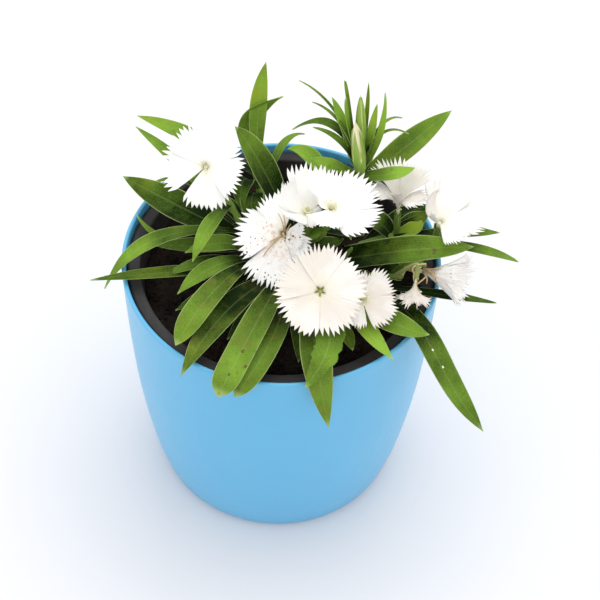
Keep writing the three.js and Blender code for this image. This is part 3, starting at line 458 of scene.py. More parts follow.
def leaf_frame(root, row, share):
    """Midrib point, sideways and upward directions and half width at shares of a leaf's length."""
    middle, tip = place(row["middle"]), place(row["tip"])
    centre, along = arc(root, 2 * middle - (root + tip) / 2, tip, share)
    heading = unit((tip - root) * (1, 1, 0))
    side = np.array([-heading[1], heading[0], 0])
    centre = centre + side * (row["sway"] * np.sin(2 * math.pi * share))[:, None]
    across = unit(side - along * (along @ side)[:, None])
    turn = np.radians(row["roll"] + row["twist"] * share)[:, None]
    across = across * np.cos(turn) + np.cross(along, across) * np.sin(turn)
    half = row["width"] / 2 * leaf_width(share, row["base"], row["blunt"])
    return centre, across, np.cross(along, across), half


def leaf_rise(share, across, half, phase):
    """Height of a leaf's middle layer: a rounded V, a groove at the midrib, and margins that wave."""
    size = np.abs(across)
    fold = 0.26 * half * size ** 1.5
    groove = -0.22 * np.exp(-(across * half / 0.55) ** 2) * (1 - share)
    wave = 0.05 * half * size ** 3 * np.sin(9 * share + phase + 2 * np.sign(across))
    return fold + groove + wave


def leaf_blade(root, row, thickness, seed):
    """A leaf as a flat ring carried along its midrib: centre + a h sideways + (rise +- t/2) up."""
    chance = np.random.default_rng(seed)
    share = 1 - (1 - np.linspace(0, 0.999, LEAF_RINGS)) ** 1.5
    centre, sideways, up, half = leaf_frame(root, row, share)
    across = np.concatenate([np.linspace(1, -1, LEAF_COLUMNS), np.linspace(-1, 1, LEAF_COLUMNS)[1:-1]])[None]
    face = np.concatenate([np.ones(LEAF_COLUMNS), -np.ones(LEAF_COLUMNS - 2)])[None]
    face = face * (np.abs(across) < 0.999)
    share, half = share[:, None], half[:, None]
    if row["ragged"]:
        left, right = (np.interp(share, np.linspace(0.35, 1, TEARS), depths)
                       for depths in chance.uniform(0, 1, (2, TEARS)))
        tear = np.where(across > 0, left, right) * np.clip((share - 0.4) * 4, 0, 1)
        across = across * (1 - row["ragged"] * tear)
    thick = thickness * (1 - 0.4 * share) * (0.32 + 0.68 * np.exp(-(across * half / 1.1) ** 2)) / 2
    rise = leaf_rise(share, across, half, chance.uniform(0, 6)) + face * thick
    rings = centre[:, None] + sideways[:, None] * (half * across)[..., None] + up[:, None] * rise[..., None]
    tone = row.get("tone", chance.uniform(0.2, 0.6))
    marks = np.stack(np.broadcast_arrays(tone, (1 - face) / 2, row["wear"], 0 * share)[:3], -1)
    wrapped = np.concatenate([across, across[:, :1]], 1)
    uv = np.stack(np.broadcast_arrays(share, (1 + wrapped) / 2), -1)
    return skin(rings, uv=uv, marks=marks, finish=BLADE, flat=True)


def leaf_spots(root, row):
    """Small flat scabs on a leaf: a low dome of the given radius at (share, across)."""
    spots = []
    for share, across, radius, finish in row["spots"]:
        centre, sideways, up, half = leaf_frame(root, row, np.array([share]))
        rise = leaf_rise(share, across, half, 0) + 0.3
        middle = centre + sideways * half * across + up * rise
        along = np.cross(sideways, up)
        angle = np.linspace(0, 2 * math.pi, 12, endpoint=False)
        ring = np.cos(angle)[:, None] * along + 0.8 * np.sin(angle)[:, None] * sideways
        sizes = radius * np.array([0.9, 1, 0.6])[:, None, None]
        rings = middle + sizes * ring + np.array([-0.2, 0, 0.12])[:, None, None] * up
        spots.append(skin(rings[:, ::-1], finish=finish))
    return spots


def turn_of(lean, toward):
    """Rotation that leans the upright by `lean` towards the heading `toward`, without a spin."""
    lean, toward = math.radians(lean), math.radians(toward)
    return np.array(Matrix.Rotation(toward, 3, "Z") @ Matrix.Rotation(lean, 3, "Y")
                    @ Matrix.Rotation(-toward, 3, "Z"))


def aimed(points, row):
    return points @ turn_of(row["lean"], row["toward"]).T + place(row["centre"])


def calyx(row):
    """The green tube under a bloom: rings of radius r (1 + 0.035 cos 15 a), with five pointed teeth at its mouth."""
    faded = row["faded"]
    angle = np.linspace(0, 2 * math.pi, 40, endpoint=False)
    tooth = np.abs((angle * 5 / (2 * math.pi)) % 1 - 0.5) * 2
    mouth = -1.2 - 2.4 * tooth
    slim = 0.5 if faded else 0.64 if row["flare"] else 1
    height = np.array([-CALYX, -13, -11.6, -10, -7, -4.5]) * (FADED_CALYX / CALYX if faded else 1)
    radius = np.array([1.1 / slim, 1.8, 2.2, 2.3, 2.3, 2.2]) * slim
    ribs = 1 + 0.035 * np.cos(15 * angle)
    outer = [np.stack([r * ribs * np.cos(angle), r * ribs * np.sin(angle), h + 0 * angle], -1)
             for r, h in zip(radius, height)]
    for r, h in ((2.3, mouth), (2.0, mouth - 0.1), (1.8, mouth * 0 - 5.2)):
        r = r * slim
        outer.append(np.stack([r * np.cos(angle), r * np.sin(angle), h], -1))
    return skin(aimed(np.array(outer), row), marks=(0.3, 0.3, 0.4 * faded), finish=GREEN)


def stem_line(foot, bend, top):
    """The stem's three points: its foot at the soil, straight above it where it bends, its top."""
    return place((*foot, STEM_START)), place((*foot, bend)), place(top)


def leafy_stem(name, settings):
    """A stem with all that grows on it: leaves, stalks, calyxes and the buds' sepals."""
    foot, bend, top, leaves = STEMS[name]
    line = stem_line(foot, bend, top)
    radius, stalk = settings.stem_radius / MM, settings.stalk_radius / MM
    t = np.linspace(0, 1, 40)
    path, heading = arc(*line, t)
    nodes = sum(np.exp(-((t - row["at"]) / 0.04) ** 2) for row in leaves)
    parts = [skin(tube(path, heading, radius * (1 + 0.25 * np.minimum(1, nodes)), 12), finish=GREEN)]
    low = np.array([place((*foot, height)) for height in BURIED])
    parts.append(skin(tube(low, np.tile((0.0, 0, 1), (2, 1)), radius, 12), finish=GREEN))
    for count, row in enumerate(leaves):
        root = arc(*line, [row["at"]])[0][0]
        parts.append(leaf_blade(root, row, settings.leaf_thickness / MM, 100 * len(name) + count))
        parts += leaf_spots(root, row)
    for row in (row for row in BLOOMS.values() if row["stem"] == name):
        faded = row["faded"]
        start = arc(*line, [row["at"]])[0][0]
        down = -turn_of(row["lean"], row["toward"])[:, 2]
        end = place(row["centre"]) + ((FADED_CALYX if faded else CALYX) - 1) * down
        control = end + down * np.linalg.norm(end - start) * (0.15 if faded else 0.5)
        path, heading = arc(start, control, end, np.linspace(0, 1, 16))
        parts.append(skin(tube(path, heading, stalk, 10), finish=GREEN, marks=(0.5, 0, 0.6 * faded)))
        parts.append(calyx(row))
    if name == "leafy_stem_back":
        parts += [part for row in BUDS.values() for part in bud_sepals(row)]
    return parts


# ---------------------------------------------------------------- blooms

# Degrees that a petal spans on either side of its middle, where it lies open and where it flares, and its rings.
FAN, FLARED_FAN, PETAL_RINGS = 38, 43, 22


def petal(row, angle, reach, lift, settings, seed):
    """A fringed fan: r = length (1 - 0.08 a^2 - notch) s at a times the fan's angle, bent from flare to lift."""
    chance = np.random.default_rng(seed)
    teeth = max(6, settings.teeth + chance.integers(-1, 2))
    faded = row["faded"]
    edge = np.linspace(-1, 1, 2 * teeth + 1)
    edge[1:-1] += chance.uniform(-0.25, 0.25, 2 * teeth - 1) / teeth
    depth = chance.uniform(0.11, 0.23, 2 * teeth + 1)
    depth[1::2] = chance.uniform(-0.02, 0.05, teeth)
    depth += 0.025 * np.sin(4 * edge + seed)
    curl = np.repeat(chance.normal(0, 0.5 + 0.9 * faded, teeth + 1), 2)[:2 * teeth + 1]
    fine = np.linspace(2 * teeth, 0, 6 * teeth + 1)
    knots = np.arange(2 * teeth + 1)
    upper = [np.interp(fine, knots, values) for values in (edge, depth, curl)]
    upper.append(1 - np.abs(fine % 2 - 1))
    across, notch, curl, ridge = (np.concatenate([line, line[::-1][1:-1]])[None] for line in upper)
    face = np.concatenate([np.ones(len(fine)), -np.ones(len(fine) - 2)])[None] * (np.abs(across) < 0.9999)
    share = (0.05 + 0.95 * np.linspace(0, 1, PETAL_RINGS) ** 0.85)[:, None]
    radius = reach * share * (1 - 0.08 * across ** 2 - notch)
    share = radius / reach
    half = (FLARED_FAN if row["flare"] else FAN) - row["slit"].get(angle, 0)
    turn = np.radians(across * half * (1.1 - 0.1 * share))
    bend = math.radians(lift - row["flare"])
    tilt = math.radians(row["flare"]) + bend * share
    wave = 0.5 * np.sin(6 * across) * share ** 2 + 0.8 * across * share
    pleat = 0.28 * (ridge - 0.5) * share ** 3 + curl * share ** 6
    crumple = (0.25 + 0.6 * faded) * ripple(5 * share, 3 * across, seed) * share
    sink = -0.9 * np.exp(-(radius - 1) / 0.7)
    thick = (settings.petal_thickness / MM * (1 - share) + 0.16) / 2
    slope = tilt + np.arctan(bend * share)
    rise = radius * np.sin(tilt) + wave + pleat + crumple + sink + face * thick * np.cos(slope)
    out = radius * np.cos(tilt) - face * thick * np.sin(slope)
    turn = turn + math.radians(angle)
    rings = np.stack([out * np.cos(turn), out * np.sin(turn), rise], -1)
    wear = row["wear"].get(angle, 0.3 * faded)
    green = float(row["heart"] == "green")
    marks = np.stack(np.broadcast_arrays(row["tint"], green, wear, share + 0 * across)[:3], -1)
    wrapped = np.concatenate([across, across[:, :1]], 1) + 0 * share[:, :1]
    along = np.concatenate([share, share[:, :1]], 1)
    uv = np.stack([along, (1 + wrapped) / 2], -1)
    return skin(aimed(rings, row), uv=uv, marks=marks, finish=PETAL, flat=True)


def thread(row, points, radius, finish):
    """A fine bent thread through three points given round the bloom's middle, slimmer towards its end."""
    start, middle, end = (np.array(point, float) for point in points)
    path, heading = arc(start, 2 * middle - (start + end) / 2, end, np.linspace(0, 1, 10))
    return skin(aimed(tube(path, heading, radius * np.linspace(1, 0.6, 10), 6), row), finish=finish)


def blob(row, centre, size, finish, wear=0):
    """A small egg: rings of radius sin p at height -cos p, stretched by size on each axis."""
    lift = np.linspace(0.15, math.pi - 0.15, 6)
    rings = turned(np.stack([np.sin(lift), -np.cos(lift)], 1), 8)
    return skin(aimed(rings * size + centre, row), finish=finish, marks=(0.5, 0, wear))


def style_ring(row):
    """Styles curled into a ring: a round section carried once about the bloom's middle."""
    angle = np.linspace(0, 1.95 * math.pi, 24)
    path = np.stack([1.6 * np.cos(angle), 1.6 * np.sin(angle), 1.9 + 0.2 * np.sin(2 * angle)], -1)
    first = unit(path * (1, 1, 0))
    second = np.cross(unit(np.gradient(path, axis=0)), first)
    turn = np.linspace(0, 2 * math.pi, 8, endpoint=False)[None, :, None]
    ring = path[:, None] + 0.4 * (np.cos(turn) * first[:, None] + np.sin(turn) * second[:, None])
    return skin(aimed(ring, row), finish=STYLE)


def heart(row, seed):
    """What shows in the middle of a bloom: its throat, and styles, stamens or wilted threads."""
    chance = np.random.default_rng(seed)
    kind = row["heart"]
    wide = 0.6 if row["flare"] else 1
    bowl = rounded([(0.1, -4.6), (1.2, -4.5), (1.4, -0.9), (0.6, -0.8), (0.1, -0.85)], 0.3) * (wide, 1)
    parts = [skin(aimed(turned(bowl, 16), row), finish=THROAT if kind in ("green", "stamens") else STYLE)]
    if kind == "ring":
        parts.append(style_ring(row))
    if kind == "wilted":
        parts.append(blob(row, (0.2, -0.3, 0.4), (1.2, 0.9, 0.6), WILTED))
    for count in range({"stamens": 7, "cream": 3}.get(kind, 0)):
        angle = 2.4 * count + chance.uniform(-0.3, 0.3)
        far = chance.uniform(1.4, 3.4)
        tip = (far * math.cos(angle), far * math.sin(angle), chance.uniform(1.6, 2.8))
        parts.append(thread(row, [(0, 0, -1), (0.4 * tip[0], 0.4 * tip[1], 1.2), tip], 0.16, STYLE))
        parts.append(blob(row, tip, (0.55, 0.4, 0.35), STYLE, wear=0.35))
    return parts + [thread(row, points, radius, DRIED) for *points, radius in row["threads"]]


def corolla(name, settings):
    row = BLOOMS[name]
    parts = [petal(row, angle, reach, lift, settings, 17 * len(name) + count + int(reach))
             for count, (angle, reach, lift) in enumerate(row["petals"])]
    return parts + heart(row, len(name))


def bud_way(row):
    """Rotation that aims the upright from a bud's foot to its tip, its foot, and its length."""
    foot, tip = place(row["foot"]), place(row["tip"])
    way = unit(tip - foot)
    lean, toward = math.degrees(math.acos(way[2])), math.degrees(math.atan2(way[1], way[0]))
    return turn_of(lean, toward), foot, np.linalg.norm(tip - foot)


def bud_width(share):
    """Radius of a bud along its length, as a share of its greatest."""
    shares = [0, 0.1, 0.2, 0.32, 0.45, 0.6, 0.75, 0.88, 1]
    return curved(share, shares, [0.35, 0.72, 0.93, 1, 0.99, 0.92, 0.78, 0.5, 0.06])


def bud_sepals(row):
    """A bud's green tube: widest at a third of its height, and cleft into five long pointed sepals."""
    turn, foot, size = bud_way(row)
    angle = np.linspace(0, 2 * math.pi, 60, endpoint=False)
    tooth = np.abs((angle * 5 / (2 * math.pi)) % 1 - 0.5) * 2
    mouth = row["parting"] + 0.14 - 0.5 * tooth ** 1.3
    outside = [np.full(60, low) for low in (0, 0.08, 0.16, 0.25)]
    outside += [0.25 + (mouth - 0.25) * rise for rise in np.linspace(0.1, 1, 10)]
    inside = [mouth, 0.5 * mouth + 0.12]
    radius = [row["widest"] * bud_width(level) * (1 + 0.025 * np.cos(15 * angle)) for level in outside]
    radius += [np.maximum(0.1, row["widest"] * bud_width(level) - 0.35) for level in inside]
    rings = [np.stack([r * np.cos(angle), r * np.sin(angle), size * level], -1)
             for r, level in zip(radius, outside + inside)]
    return [skin(np.array(rings) @ turn.T + foot, marks=(0.85, 1, 0), finish=GREEN)]


def bud_petals(row):
    """Furled petals: a slim cone inside the sepals, whose surface winds round it in three folds."""
    turn, foot, size = bud_way(row)
    share = np.linspace(0.3, 1, 24)[:, None]
    angle = np.linspace(0, 2 * math.pi, 36, endpoint=False)[None]
    radius = np.maximum(0.06, row["widest"] * bud_width(share) - 0.3) * (1 + 0.1 * np.sin(3 * angle + 9 * share))
    rings = np.stack(np.broadcast_arrays(radius * np.cos(angle), radius * np.sin(angle), size * share), -1)
    return [skin(rings @ turn.T + foot, marks=(row["green"], 0, 0))]


# ---------------------------------------------------------------- pots and soil

# The cachepot: heights of its belly as shares of the pot's, the radii there up to the rim's own, the flat of its
# foot and the radius of that foot's edge, and the top of its floor.
BELLY_SHARES, BELLY = [0.04, 0.1, 0.25, 0.45, 0.7, 1], [54.5, 56.9, 60.8, 64.6, 67.6]
FOOT_FLAT, FOOT_ROUND, POT_FLOOR = 49.5, 5, 4

# The nursery pot: its gap to the cachepot's wall, its top below the rim, its inside radius at the foot, its floor.
NURSERY_GAP, NURSERY_DROP, NURSERY_FOOT, NURSERY_FLOOR = 0.6, 3, 44.8, 5.5

# The soil: its edge below the rim, its gap to the nursery pot's wall, and its loose crumbs.
SOIL_DROP, SOIL_GAP, CRUMBS = 14, 0.3, 1500

# Points round the two pots and the soil.
POT_SIDES, NURSERY_SIDES, SOIL_SIDES = 144, 120, 160


def pot_profile(settings):
    """Cachepot from its underside up and over the rim to its floor, as (radius, height)."""
    height, radius, wall = settings.height / MM, settings.radius / MM, settings.wall / MM

    def belly(share):
        return np.stack([curved(share, BELLY_SHARES, [*BELLY, radius]), share * height], 1)

    bend = np.linspace(-math.pi / 2, -0.15, 8)
    foot = np.stack([FOOT_FLAT + FOOT_ROUND * np.cos(bend), FOOT_ROUND + FOOT_ROUND * np.sin(bend)], 1)
    turn = np.linspace(0, math.pi, 9)
    rim = np.stack([radius - wall / 2 + wall / 2 * np.cos(turn), height - wall / 2 + wall / 2 * np.sin(turn)], 1)
    outside, inside = belly(np.linspace(0.06, 0.975, 24)), belly(np.linspace(0.985, 0.09, 20)) - (wall, 0)
    return np.concatenate([[(0.5, 0), (25, 0), (46, 0)], foot, outside, rim, inside,
                           [(51, 6), (48, POT_FLOOR + 0.2), (40, POT_FLOOR), (0.5, POT_FLOOR)]])


def nursery_top(settings):
    """Height of the nursery pot's top, and the outside radius of its lip."""
    return settings.height / MM - NURSERY_DROP, (settings.radius - settings.wall) / MM - NURSERY_GAP


def nursery_inside(height, settings):
    """Inside radius of the nursery pot at a height: a straight taper from its mouth to its foot."""
    top, edge = nursery_top(settings)
    mouth = edge - settings.lip / MM
    return NURSERY_FOOT + (mouth - NURSERY_FOOT) * (height - POT_FLOOR) / (top - POT_FLOOR)


def nursery_profile(settings):
    """Nursery pot from its underside up, round its lip and down to its floor, as (radius, height)."""
    top, edge = nursery_top(settings)
    mouth = nursery_inside(top, settings)
    return rounded([
        (0.5, POT_FLOOR), (46, POT_FLOOR), (mouth + 0.2, top - 7), (edge - 1, top - 6), (edge, top - 1),
        (edge - 1, top), (mouth + 0.5, top), (mouth, top - 1),
        (nursery_inside(NURSERY_FLOOR, settings), NURSERY_FLOOR), (0.5, NURSERY_FLOOR)], 0.8)


def soil_heap(radius, angle, edge):
    """Height of the soil: a low heap, broad lumps that fade out at the edge, and fine crumbs."""
    heap = 3 * (1 - (radius / edge) ** 2)
    lumps = np.sin(radius * 0.55 + 2 * np.sin(3 * angle)) * np.cos(5 * angle + radius * 0.21)
    x, y = radius * np.cos(angle), radius * np.sin(angle)
    crumbs = 0.35 * ripple(1.3 * x, 1.3 * y, 2) + 0.25 * ripple(3.1 * x, -2.7 * y, 5)
    return heap + (1.1 * lumps + crumbs) * np.minimum(1, (edge - radius) / 8)


def crumb_shape():
    """The twelve corners of an icosahedron about 1 mm in radius, and its faces turned outwards."""
    golden = (1 + 5 ** 0.5) / 2
    ball = np.array([(0, a, b * golden) for a in (-1, 1) for b in (-1, 1)])
    ball = np.concatenate([ball, ball[:, [1, 2, 0]], ball[:, [2, 0, 1]]]) / 1.9
    gaps = np.linalg.norm(ball[:, None] - ball[None], axis=-1)
    near = (gaps > 0.1) & (gaps < gaps[gaps > 0.1].min() * 1.05)
    faces = np.array([(i, j, k) for i in range(12) for j in range(i) for k in range(j)
                      if near[i, j] and near[j, k] and near[i, k]])
    first, second, third = (ball[faces[:, corner]] for corner in range(3))
    outward = np.einsum("ij,ij->i", np.cross(second - first, third - first), first) > 0
    return ball, np.where(outward[:, None], faces, faces[:, ::-1])


def soil_parts(settings):
    """The soil's body, and loose crumbs strewn over it."""
    level = settings.height / MM - SOIL_DROP
    edge, foot = (nursery_inside(height, settings) - SOIL_GAP for height in (level, NURSERY_FLOOR))
    angle = np.linspace(0, 2 * math.pi, SOIL_SIDES, endpoint=False)[None]
    radius = np.linspace(1, 0.01, 44)[:, None] * edge
    height = level + soil_heap(radius, angle, edge)
    top = np.stack(np.broadcast_arrays(radius * np.cos(angle), radius * np.sin(angle), height), -1)
    profile = np.array([(0.5, NURSERY_FLOOR), (foot, NURSERY_FLOOR), (edge, level - 0.5)])
    body = skin(np.concatenate([turned(profile, SOIL_SIDES), top]))
    chance = np.random.default_rng(7)
    far = edge * np.sqrt(chance.uniform(0, 0.97, CRUMBS))
    turn = chance.uniform(0, 2 * math.pi, CRUMBS)
    size = chance.uniform(0.35, 1.5, (CRUMBS, 1)) * chance.uniform(0.6, 1, (CRUMBS, 3))
    centre = np.stack([far * np.cos(turn), far * np.sin(turn), level + soil_heap(far, turn, edge)], -1)
    ball, faces = crumb_shape()
    points = centre[:, None] + ball[None] * size[:, None] * chance.uniform(0.75, 1.25, (CRUMBS, 12, 1))
    tris = (faces[None] + 12 * np.arange(CRUMBS)[:, None, None]).reshape(-1, 3)
    crumbs = dict(points=points.reshape(-1, 3), marks=np.full((12 * CRUMBS, 3), 0.5), finish=0,
                  quads=np.zeros((0, 4), int), quad_uv=np.zeros((0, 4, 2)),
                  tris=tris, tri_uv=np.zeros((len(tris), 3, 2)))
    return [body, crumbs]


# ---------------------------------------------------------------- finishes

FLOAT, VECTOR, COLOUR = "NodeSocketFloat", "NodeSocketVector", "NodeSocketColor"


class Nodes:
    """Adds shader nodes to one tree. An input is a number, a colour, or another node's output to link."""

    def __init__(self, tree):
        self.tree = tree

    def put(self, socket, value):
        if isinstance(value, bpy.types.NodeSocket):
            self.tree.links.new(value, socket)
        else:
            socket.default_value = value

    def add(self, kind, inputs, **settings):
        """Adds a node, sets its settings and inputs, and gives its outputs."""
        made = self.tree.nodes.new(kind)
        for key, value in settings.items():
            setattr(made, key, value)
        for key, value in inputs.items():
            self.put(made.inputs[key], value)
        return made.outputs

    def calc(self, operation, a, b=0.0, c=0.0):
        return self.add("ShaderNodeMath", {0: a, 1: b, 2: c}, operation=operation)[0]

    def times(self, first, *others):
        for other in others:
            first = self.calc("MULTIPLY", first, other)
        return first

    def scaled(self, value, by, plus):
        """value * by + plus"""
        return self.calc("MULTIPLY_ADD", value, by, plus)

    def rest(self, value):
        """1 - value"""
        return self.calc("SUBTRACT", 1.0, value)

    def between(self, value, low, high):
        """0 below low and 1 above high, with a smooth step between."""
        return self.add("ShaderNodeMapRange", {"Value": value, "From Min": low, "From Max": high},
                        interpolation_type="SMOOTHSTEP")[0]

    def mixed(self, factor, a, b):
        a, b = ((*value, 1) if isinstance(value, (tuple, Color)) else value for value in (a, b))
        return self.add("ShaderNodeMix", {0: factor, 6: a, 7: b}, data_type="RGBA")[2]

    def layered(self, base, *layers):
        """Paints layers over a colour. Each has its colour, its mask and its strength."""
        for colour, mask, strength in layers:
            base = self.mixed(self.times(mask, strength), base, colour)
        return base

    def where(self):
        return self.add("ShaderNodeTexCoord", {})["Object"]

    def noise(self, vector, scale, detail=3.0):
        return self.add("ShaderNodeTexNoise", {"Vector": vector, "Scale": scale, "Detail": detail})["Fac"]

    def split(self, vector):
        return self.add("ShaderNodeSeparateXYZ", {0: vector})

    def growth(self):
        """A blade's own marks (tone; underside, green or seams; wear), its UV map and that map's two parts."""
        marks = self.split(self.add("ShaderNodeAttribute", {}, attribute_name="growth")["Vector"])
        uv = self.add("ShaderNodeUVMap", {}, uv_map="UVMap")[0]
        return marks, uv, self.split(uv)

    def use(self, shared, **inputs):
        return self.add("ShaderNodeGroup", inputs, node_tree=shared)

    def mottled(self, scale, amount, colour, other):
        return self.use(mottle_group(), Vector=self.where(), Scale=scale, Amount=amount,
                        Colour=(*colour, 1), Other=(*other, 1))


def group(name, inputs, outputs, build):
    """A shared effect with named inputs and outputs, built once. `build` gives what the outputs take."""
    if name in bpy.data.node_groups:
        return bpy.data.node_groups[name]
    tree = bpy.data.node_groups.new(name, "ShaderNodeTree")
    for label, kind, default in inputs:
        socket = tree.interface.new_socket(name=label, in_out="INPUT", socket_type=kind)
        if default is not None:
            socket.default_value = default
    for label, kind in outputs:
        tree.interface.new_socket(name=label, in_out="OUTPUT", socket_type=kind)
    made = build(Nodes(tree), tree.nodes.new("NodeGroupInput").outputs)
    end = tree.nodes.new("NodeGroupOutput").inputs
    for (label, kind), output in zip(outputs, made):
        tree.links.new(output, end[label])
    return tree


def mottle_group():
    """Uneven colour: two sizes of noise move a colour towards another."""
    def build(nodes, given):
        broad = nodes.noise(given["Vector"], given["Scale"])
        fine = nodes.noise(given["Vector"], nodes.times(given["Scale"], 7.0), 5.0)
        both = nodes.scaled(fine, 0.4, nodes.times(broad, 0.6))
        factor = nodes.times(nodes.between(both, 0.35, 0.68), given["Amount"])
        return nodes.mixed(factor, given["Colour"], given["Other"]), both
    return group("Mottle", [
        ("Vector", VECTOR, None), ("Scale", FLOAT, 60.0), ("Amount", FLOAT, 0.5),
        ("Colour", COLOUR, None), ("Other", COLOUR, None)], [("Colour", COLOUR), ("Height", FLOAT)], build)


def vein_group():
    """Fine lines that run along a blade or fan: bands across it, bent a little by noise."""
    def build(nodes, given):
        split = nodes.split(given["UV"])
        stretched = nodes.add("ShaderNodeCombineXYZ", {
            0: nodes.times(split[0], 2.0), 1: nodes.times(split[1], given["Lines"], 0.5)})[0]
        bent = nodes.scaled(nodes.noise(stretched, 1.0), 2.2, nodes.times(split[1], given["Lines"], 2 * math.pi))
        line = nodes.scaled(nodes.calc("SINE", bent), 0.5, 0.5)
        return nodes.calc("POWER", line, given["Sharpness"]), nodes.noise(stretched, 3.0, 4.0)
    return group("Veins", [("UV", VECTOR, None), ("Lines", FLOAT, 14.0), ("Sharpness", FLOAT, 3.0)],
                 [("Line", FLOAT), ("Streak", FLOAT)], build)


def speck_group():
    """Brown specks: round cells of noise, kept where a patch noise is high."""
    def build(nodes, given):
        cells = nodes.add("ShaderNodeTexVoronoi", {"Vector": given["Vector"], "Scale": given["Scale"]})
        size = nodes.times(nodes.add("ShaderNodeSeparateColor", {0: cells["Color"]})[0], 0.3)
        dot = nodes.rest(nodes.between(nodes.calc("SUBTRACT", cells["Distance"], size), -0.04, 0.03))
        patch = nodes.between(nodes.noise(given["Vector"], nodes.times(given["Scale"], 0.18)), 0.42, 0.6)
        return [nodes.times(dot, patch, given["Amount"])]
    return group("Specks", [("Vector", VECTOR, None), ("Scale", FLOAT, 500.0), ("Amount", FLOAT, 1.0)],
                 [("Mask", FLOAT)], build)


def begin(name, base, rough):
    """A new material with a plain colour and roughness, and its nodes."""
    material = bpy.data.materials.new(name)
    material.use_nodes = True
    shader = material.node_tree.nodes["Principled BSDF"].inputs
    shader["Base Color"].default_value = (*base, 1)
    shader["Roughness"].default_value = rough
    return material, Nodes(material.node_tree)


def dress(material, nodes, colour, relief, depth, more):
    """Gives a material its painted colour, its relief of a depth, and more inputs of its shader."""
    bump = nodes.add("ShaderNodeBump", {"Height": relief, "Strength": 0.5, "Distance": depth})[0]
    shader = nodes.tree.nodes["Principled BSDF"].inputs
    for key, value in {"Base Color": colour, "Normal": bump, **more}.items():
        nodes.put(shader[key], value)
    return material


def glaze_finish(settings):
    material, nodes = begin("Sky blue glaze", settings.glaze, 0.35)
    deeper = [value * share for value, share in zip(settings.glaze, (0.85, 0.93, 0.97))]
    out = nodes.mottled(30.0, 0.25, settings.glaze, deeper)
    return dress(material, nodes, out["Colour"], nodes.noise(nodes.where(), 260.0), 0.00006, {
        "Roughness": nodes.scaled(out["Height"], 0.12, 0.3), "Coat Weight": 0.15, "Coat Roughness": 0.25})


def plastic_finish(settings):
    material, nodes = begin("Dusty charcoal plastic", settings.plastic, 0.55)
    out = nodes.mottled(45.0, 0.7, settings.plastic, (0.05, 0.045, 0.043))
    dirt = nodes.use(speck_group(), Vector=nodes.where(), Scale=420.0, Amount=0.8)["Mask"]
    return dress(material, nodes, nodes.mixed(dirt, out["Colour"], (0.03, 0.022, 0.016)), out["Height"], 0.0002, {
        "Roughness": nodes.scaled(out["Height"], 0.3, 0.4), "Specular IOR Level": 0.25})


def soil_finish(settings):
    material, nodes = begin("Moist potting soil", settings.earth, 0.95)
    out = nodes.mottled(90.0, 0.8, settings.earth, (0.03, 0.02, 0.014))
    return dress(material, nodes, out["Colour"], nodes.noise(nodes.where(), 1200.0, 6.0), 0.0008, {
        "Roughness": 0.95, "Specular IOR Level": 0.15})


def simple_finish(name, base, other, rough, scale=400.0):
    """A small part's finish: its colour mottled towards another."""
    material, nodes = begin(name, base, rough)
    out = nodes.mottled(scale, 0.8, base, other)
    return dress(material, nodes, out["Colour"], out["Height"], 0.0002, {
        "Roughness": rough, "Specular IOR Level": 0.15})


def leaf_finish(settings):
    """Living leaf: tone from dark to light with painted shade towards its base, pale midrib and margin, parallel
    veins, paler underside.
    """
    material, nodes = begin("Living leaf", settings.leaf_light, 0.42)
    marks, uv, split = nodes.growth()
    where, margin, tone = nodes.where(), settings.margin, marks[0]
    for scale, detail, strength in ((65.0, 4.0, 0.9), (1400.0, 2.0, 0.35)):
        tone = nodes.scaled(nodes.calc("SUBTRACT", nodes.noise(where, scale, detail), 0.5), strength, tone)
    # Painted shade: the tone drops towards the leaf's base, for the shade in the middle of the plant.
    tone = nodes.scaled(nodes.between(split[0], 0.05, 0.8), 0.65, nodes.calc("SUBTRACT", tone, 0.56))
    yellow = nodes.times(nodes.between(nodes.noise(where, 38.0), 0.5, 0.72), tone)
    worn = nodes.times(nodes.between(nodes.noise(where, 170.0, 5.0), 0.48, 0.66), marks[2])
    specks = nodes.use(speck_group(), Vector=where, Scale=260.0, Amount=0.5)["Mask"]
    veins = nodes.use(vein_group(), UV=uv, Lines=13.0, Sharpness=4.0)
    off = nodes.calc("ABSOLUTE", nodes.scaled(split[1], 2.0, -1.0))
    rib = nodes.rest(nodes.between(off, 0.02, 0.09))
    base = nodes.layered(
        nodes.mixed(tone, settings.leaf_dark, settings.leaf_light),
        ((0.36, 0.4, 0.02), yellow, 0.5),
        (margin, veins["Line"], 0.03),
        (margin, rib, 0.08),
        (margin, nodes.between(off, 0.93, 0.98), 0.8),
        (margin, nodes.between(split[0], 0.94, 1.0), 0.5),
        ((0.22, 0.32, 0.12), marks[1], 0.35),
        ((0.1, 0.09, 0.02), specks, 0.6),
        ((0.2, 0.16, 0.04), worn, 0.6))
    relief = nodes.scaled(veins["Line"], 0.5, nodes.times(rib, -0.6))
    return dress(material, nodes, base, relief, 0.0001, {
        "Roughness": nodes.scaled(veins["Streak"], 0.2, 0.32), "Specular IOR Level": 0.04})


def stem_finish(settings):
    """Living stem: fine lines, pale seams between sepals, and straw where it has dried."""
    material, nodes = begin("Living stem", settings.leaf_light, 0.5)
    marks, _, split = nodes.growth()
    bright = tuple(0.75 * a + 0.25 * b for a, b in zip(settings.leaf_light, settings.margin))
    lines = nodes.noise(nodes.where(), 300.0)
    seam = nodes.calc("ABSOLUTE", nodes.scaled(nodes.calc("FRACT", nodes.times(split[1], 5.0)), 2.0, -1.0))
    seam = nodes.times(nodes.between(seam, 0.7, 0.95), nodes.between(split[0], 0.35, 0.6))
    base = nodes.layered(
        nodes.mixed(marks[0], settings.leaf_dark, bright),
        (settings.leaf_light, lines, 0.4),
        ((0.7, 0.76, 0.3), seam, marks[1]),
        ((0.58, 0.44, 0.26), marks[2], 1.0))
    return dress(material, nodes, base, lines, 0.0002, {"Roughness": 0.5, "Specular IOR Level": 0.15})


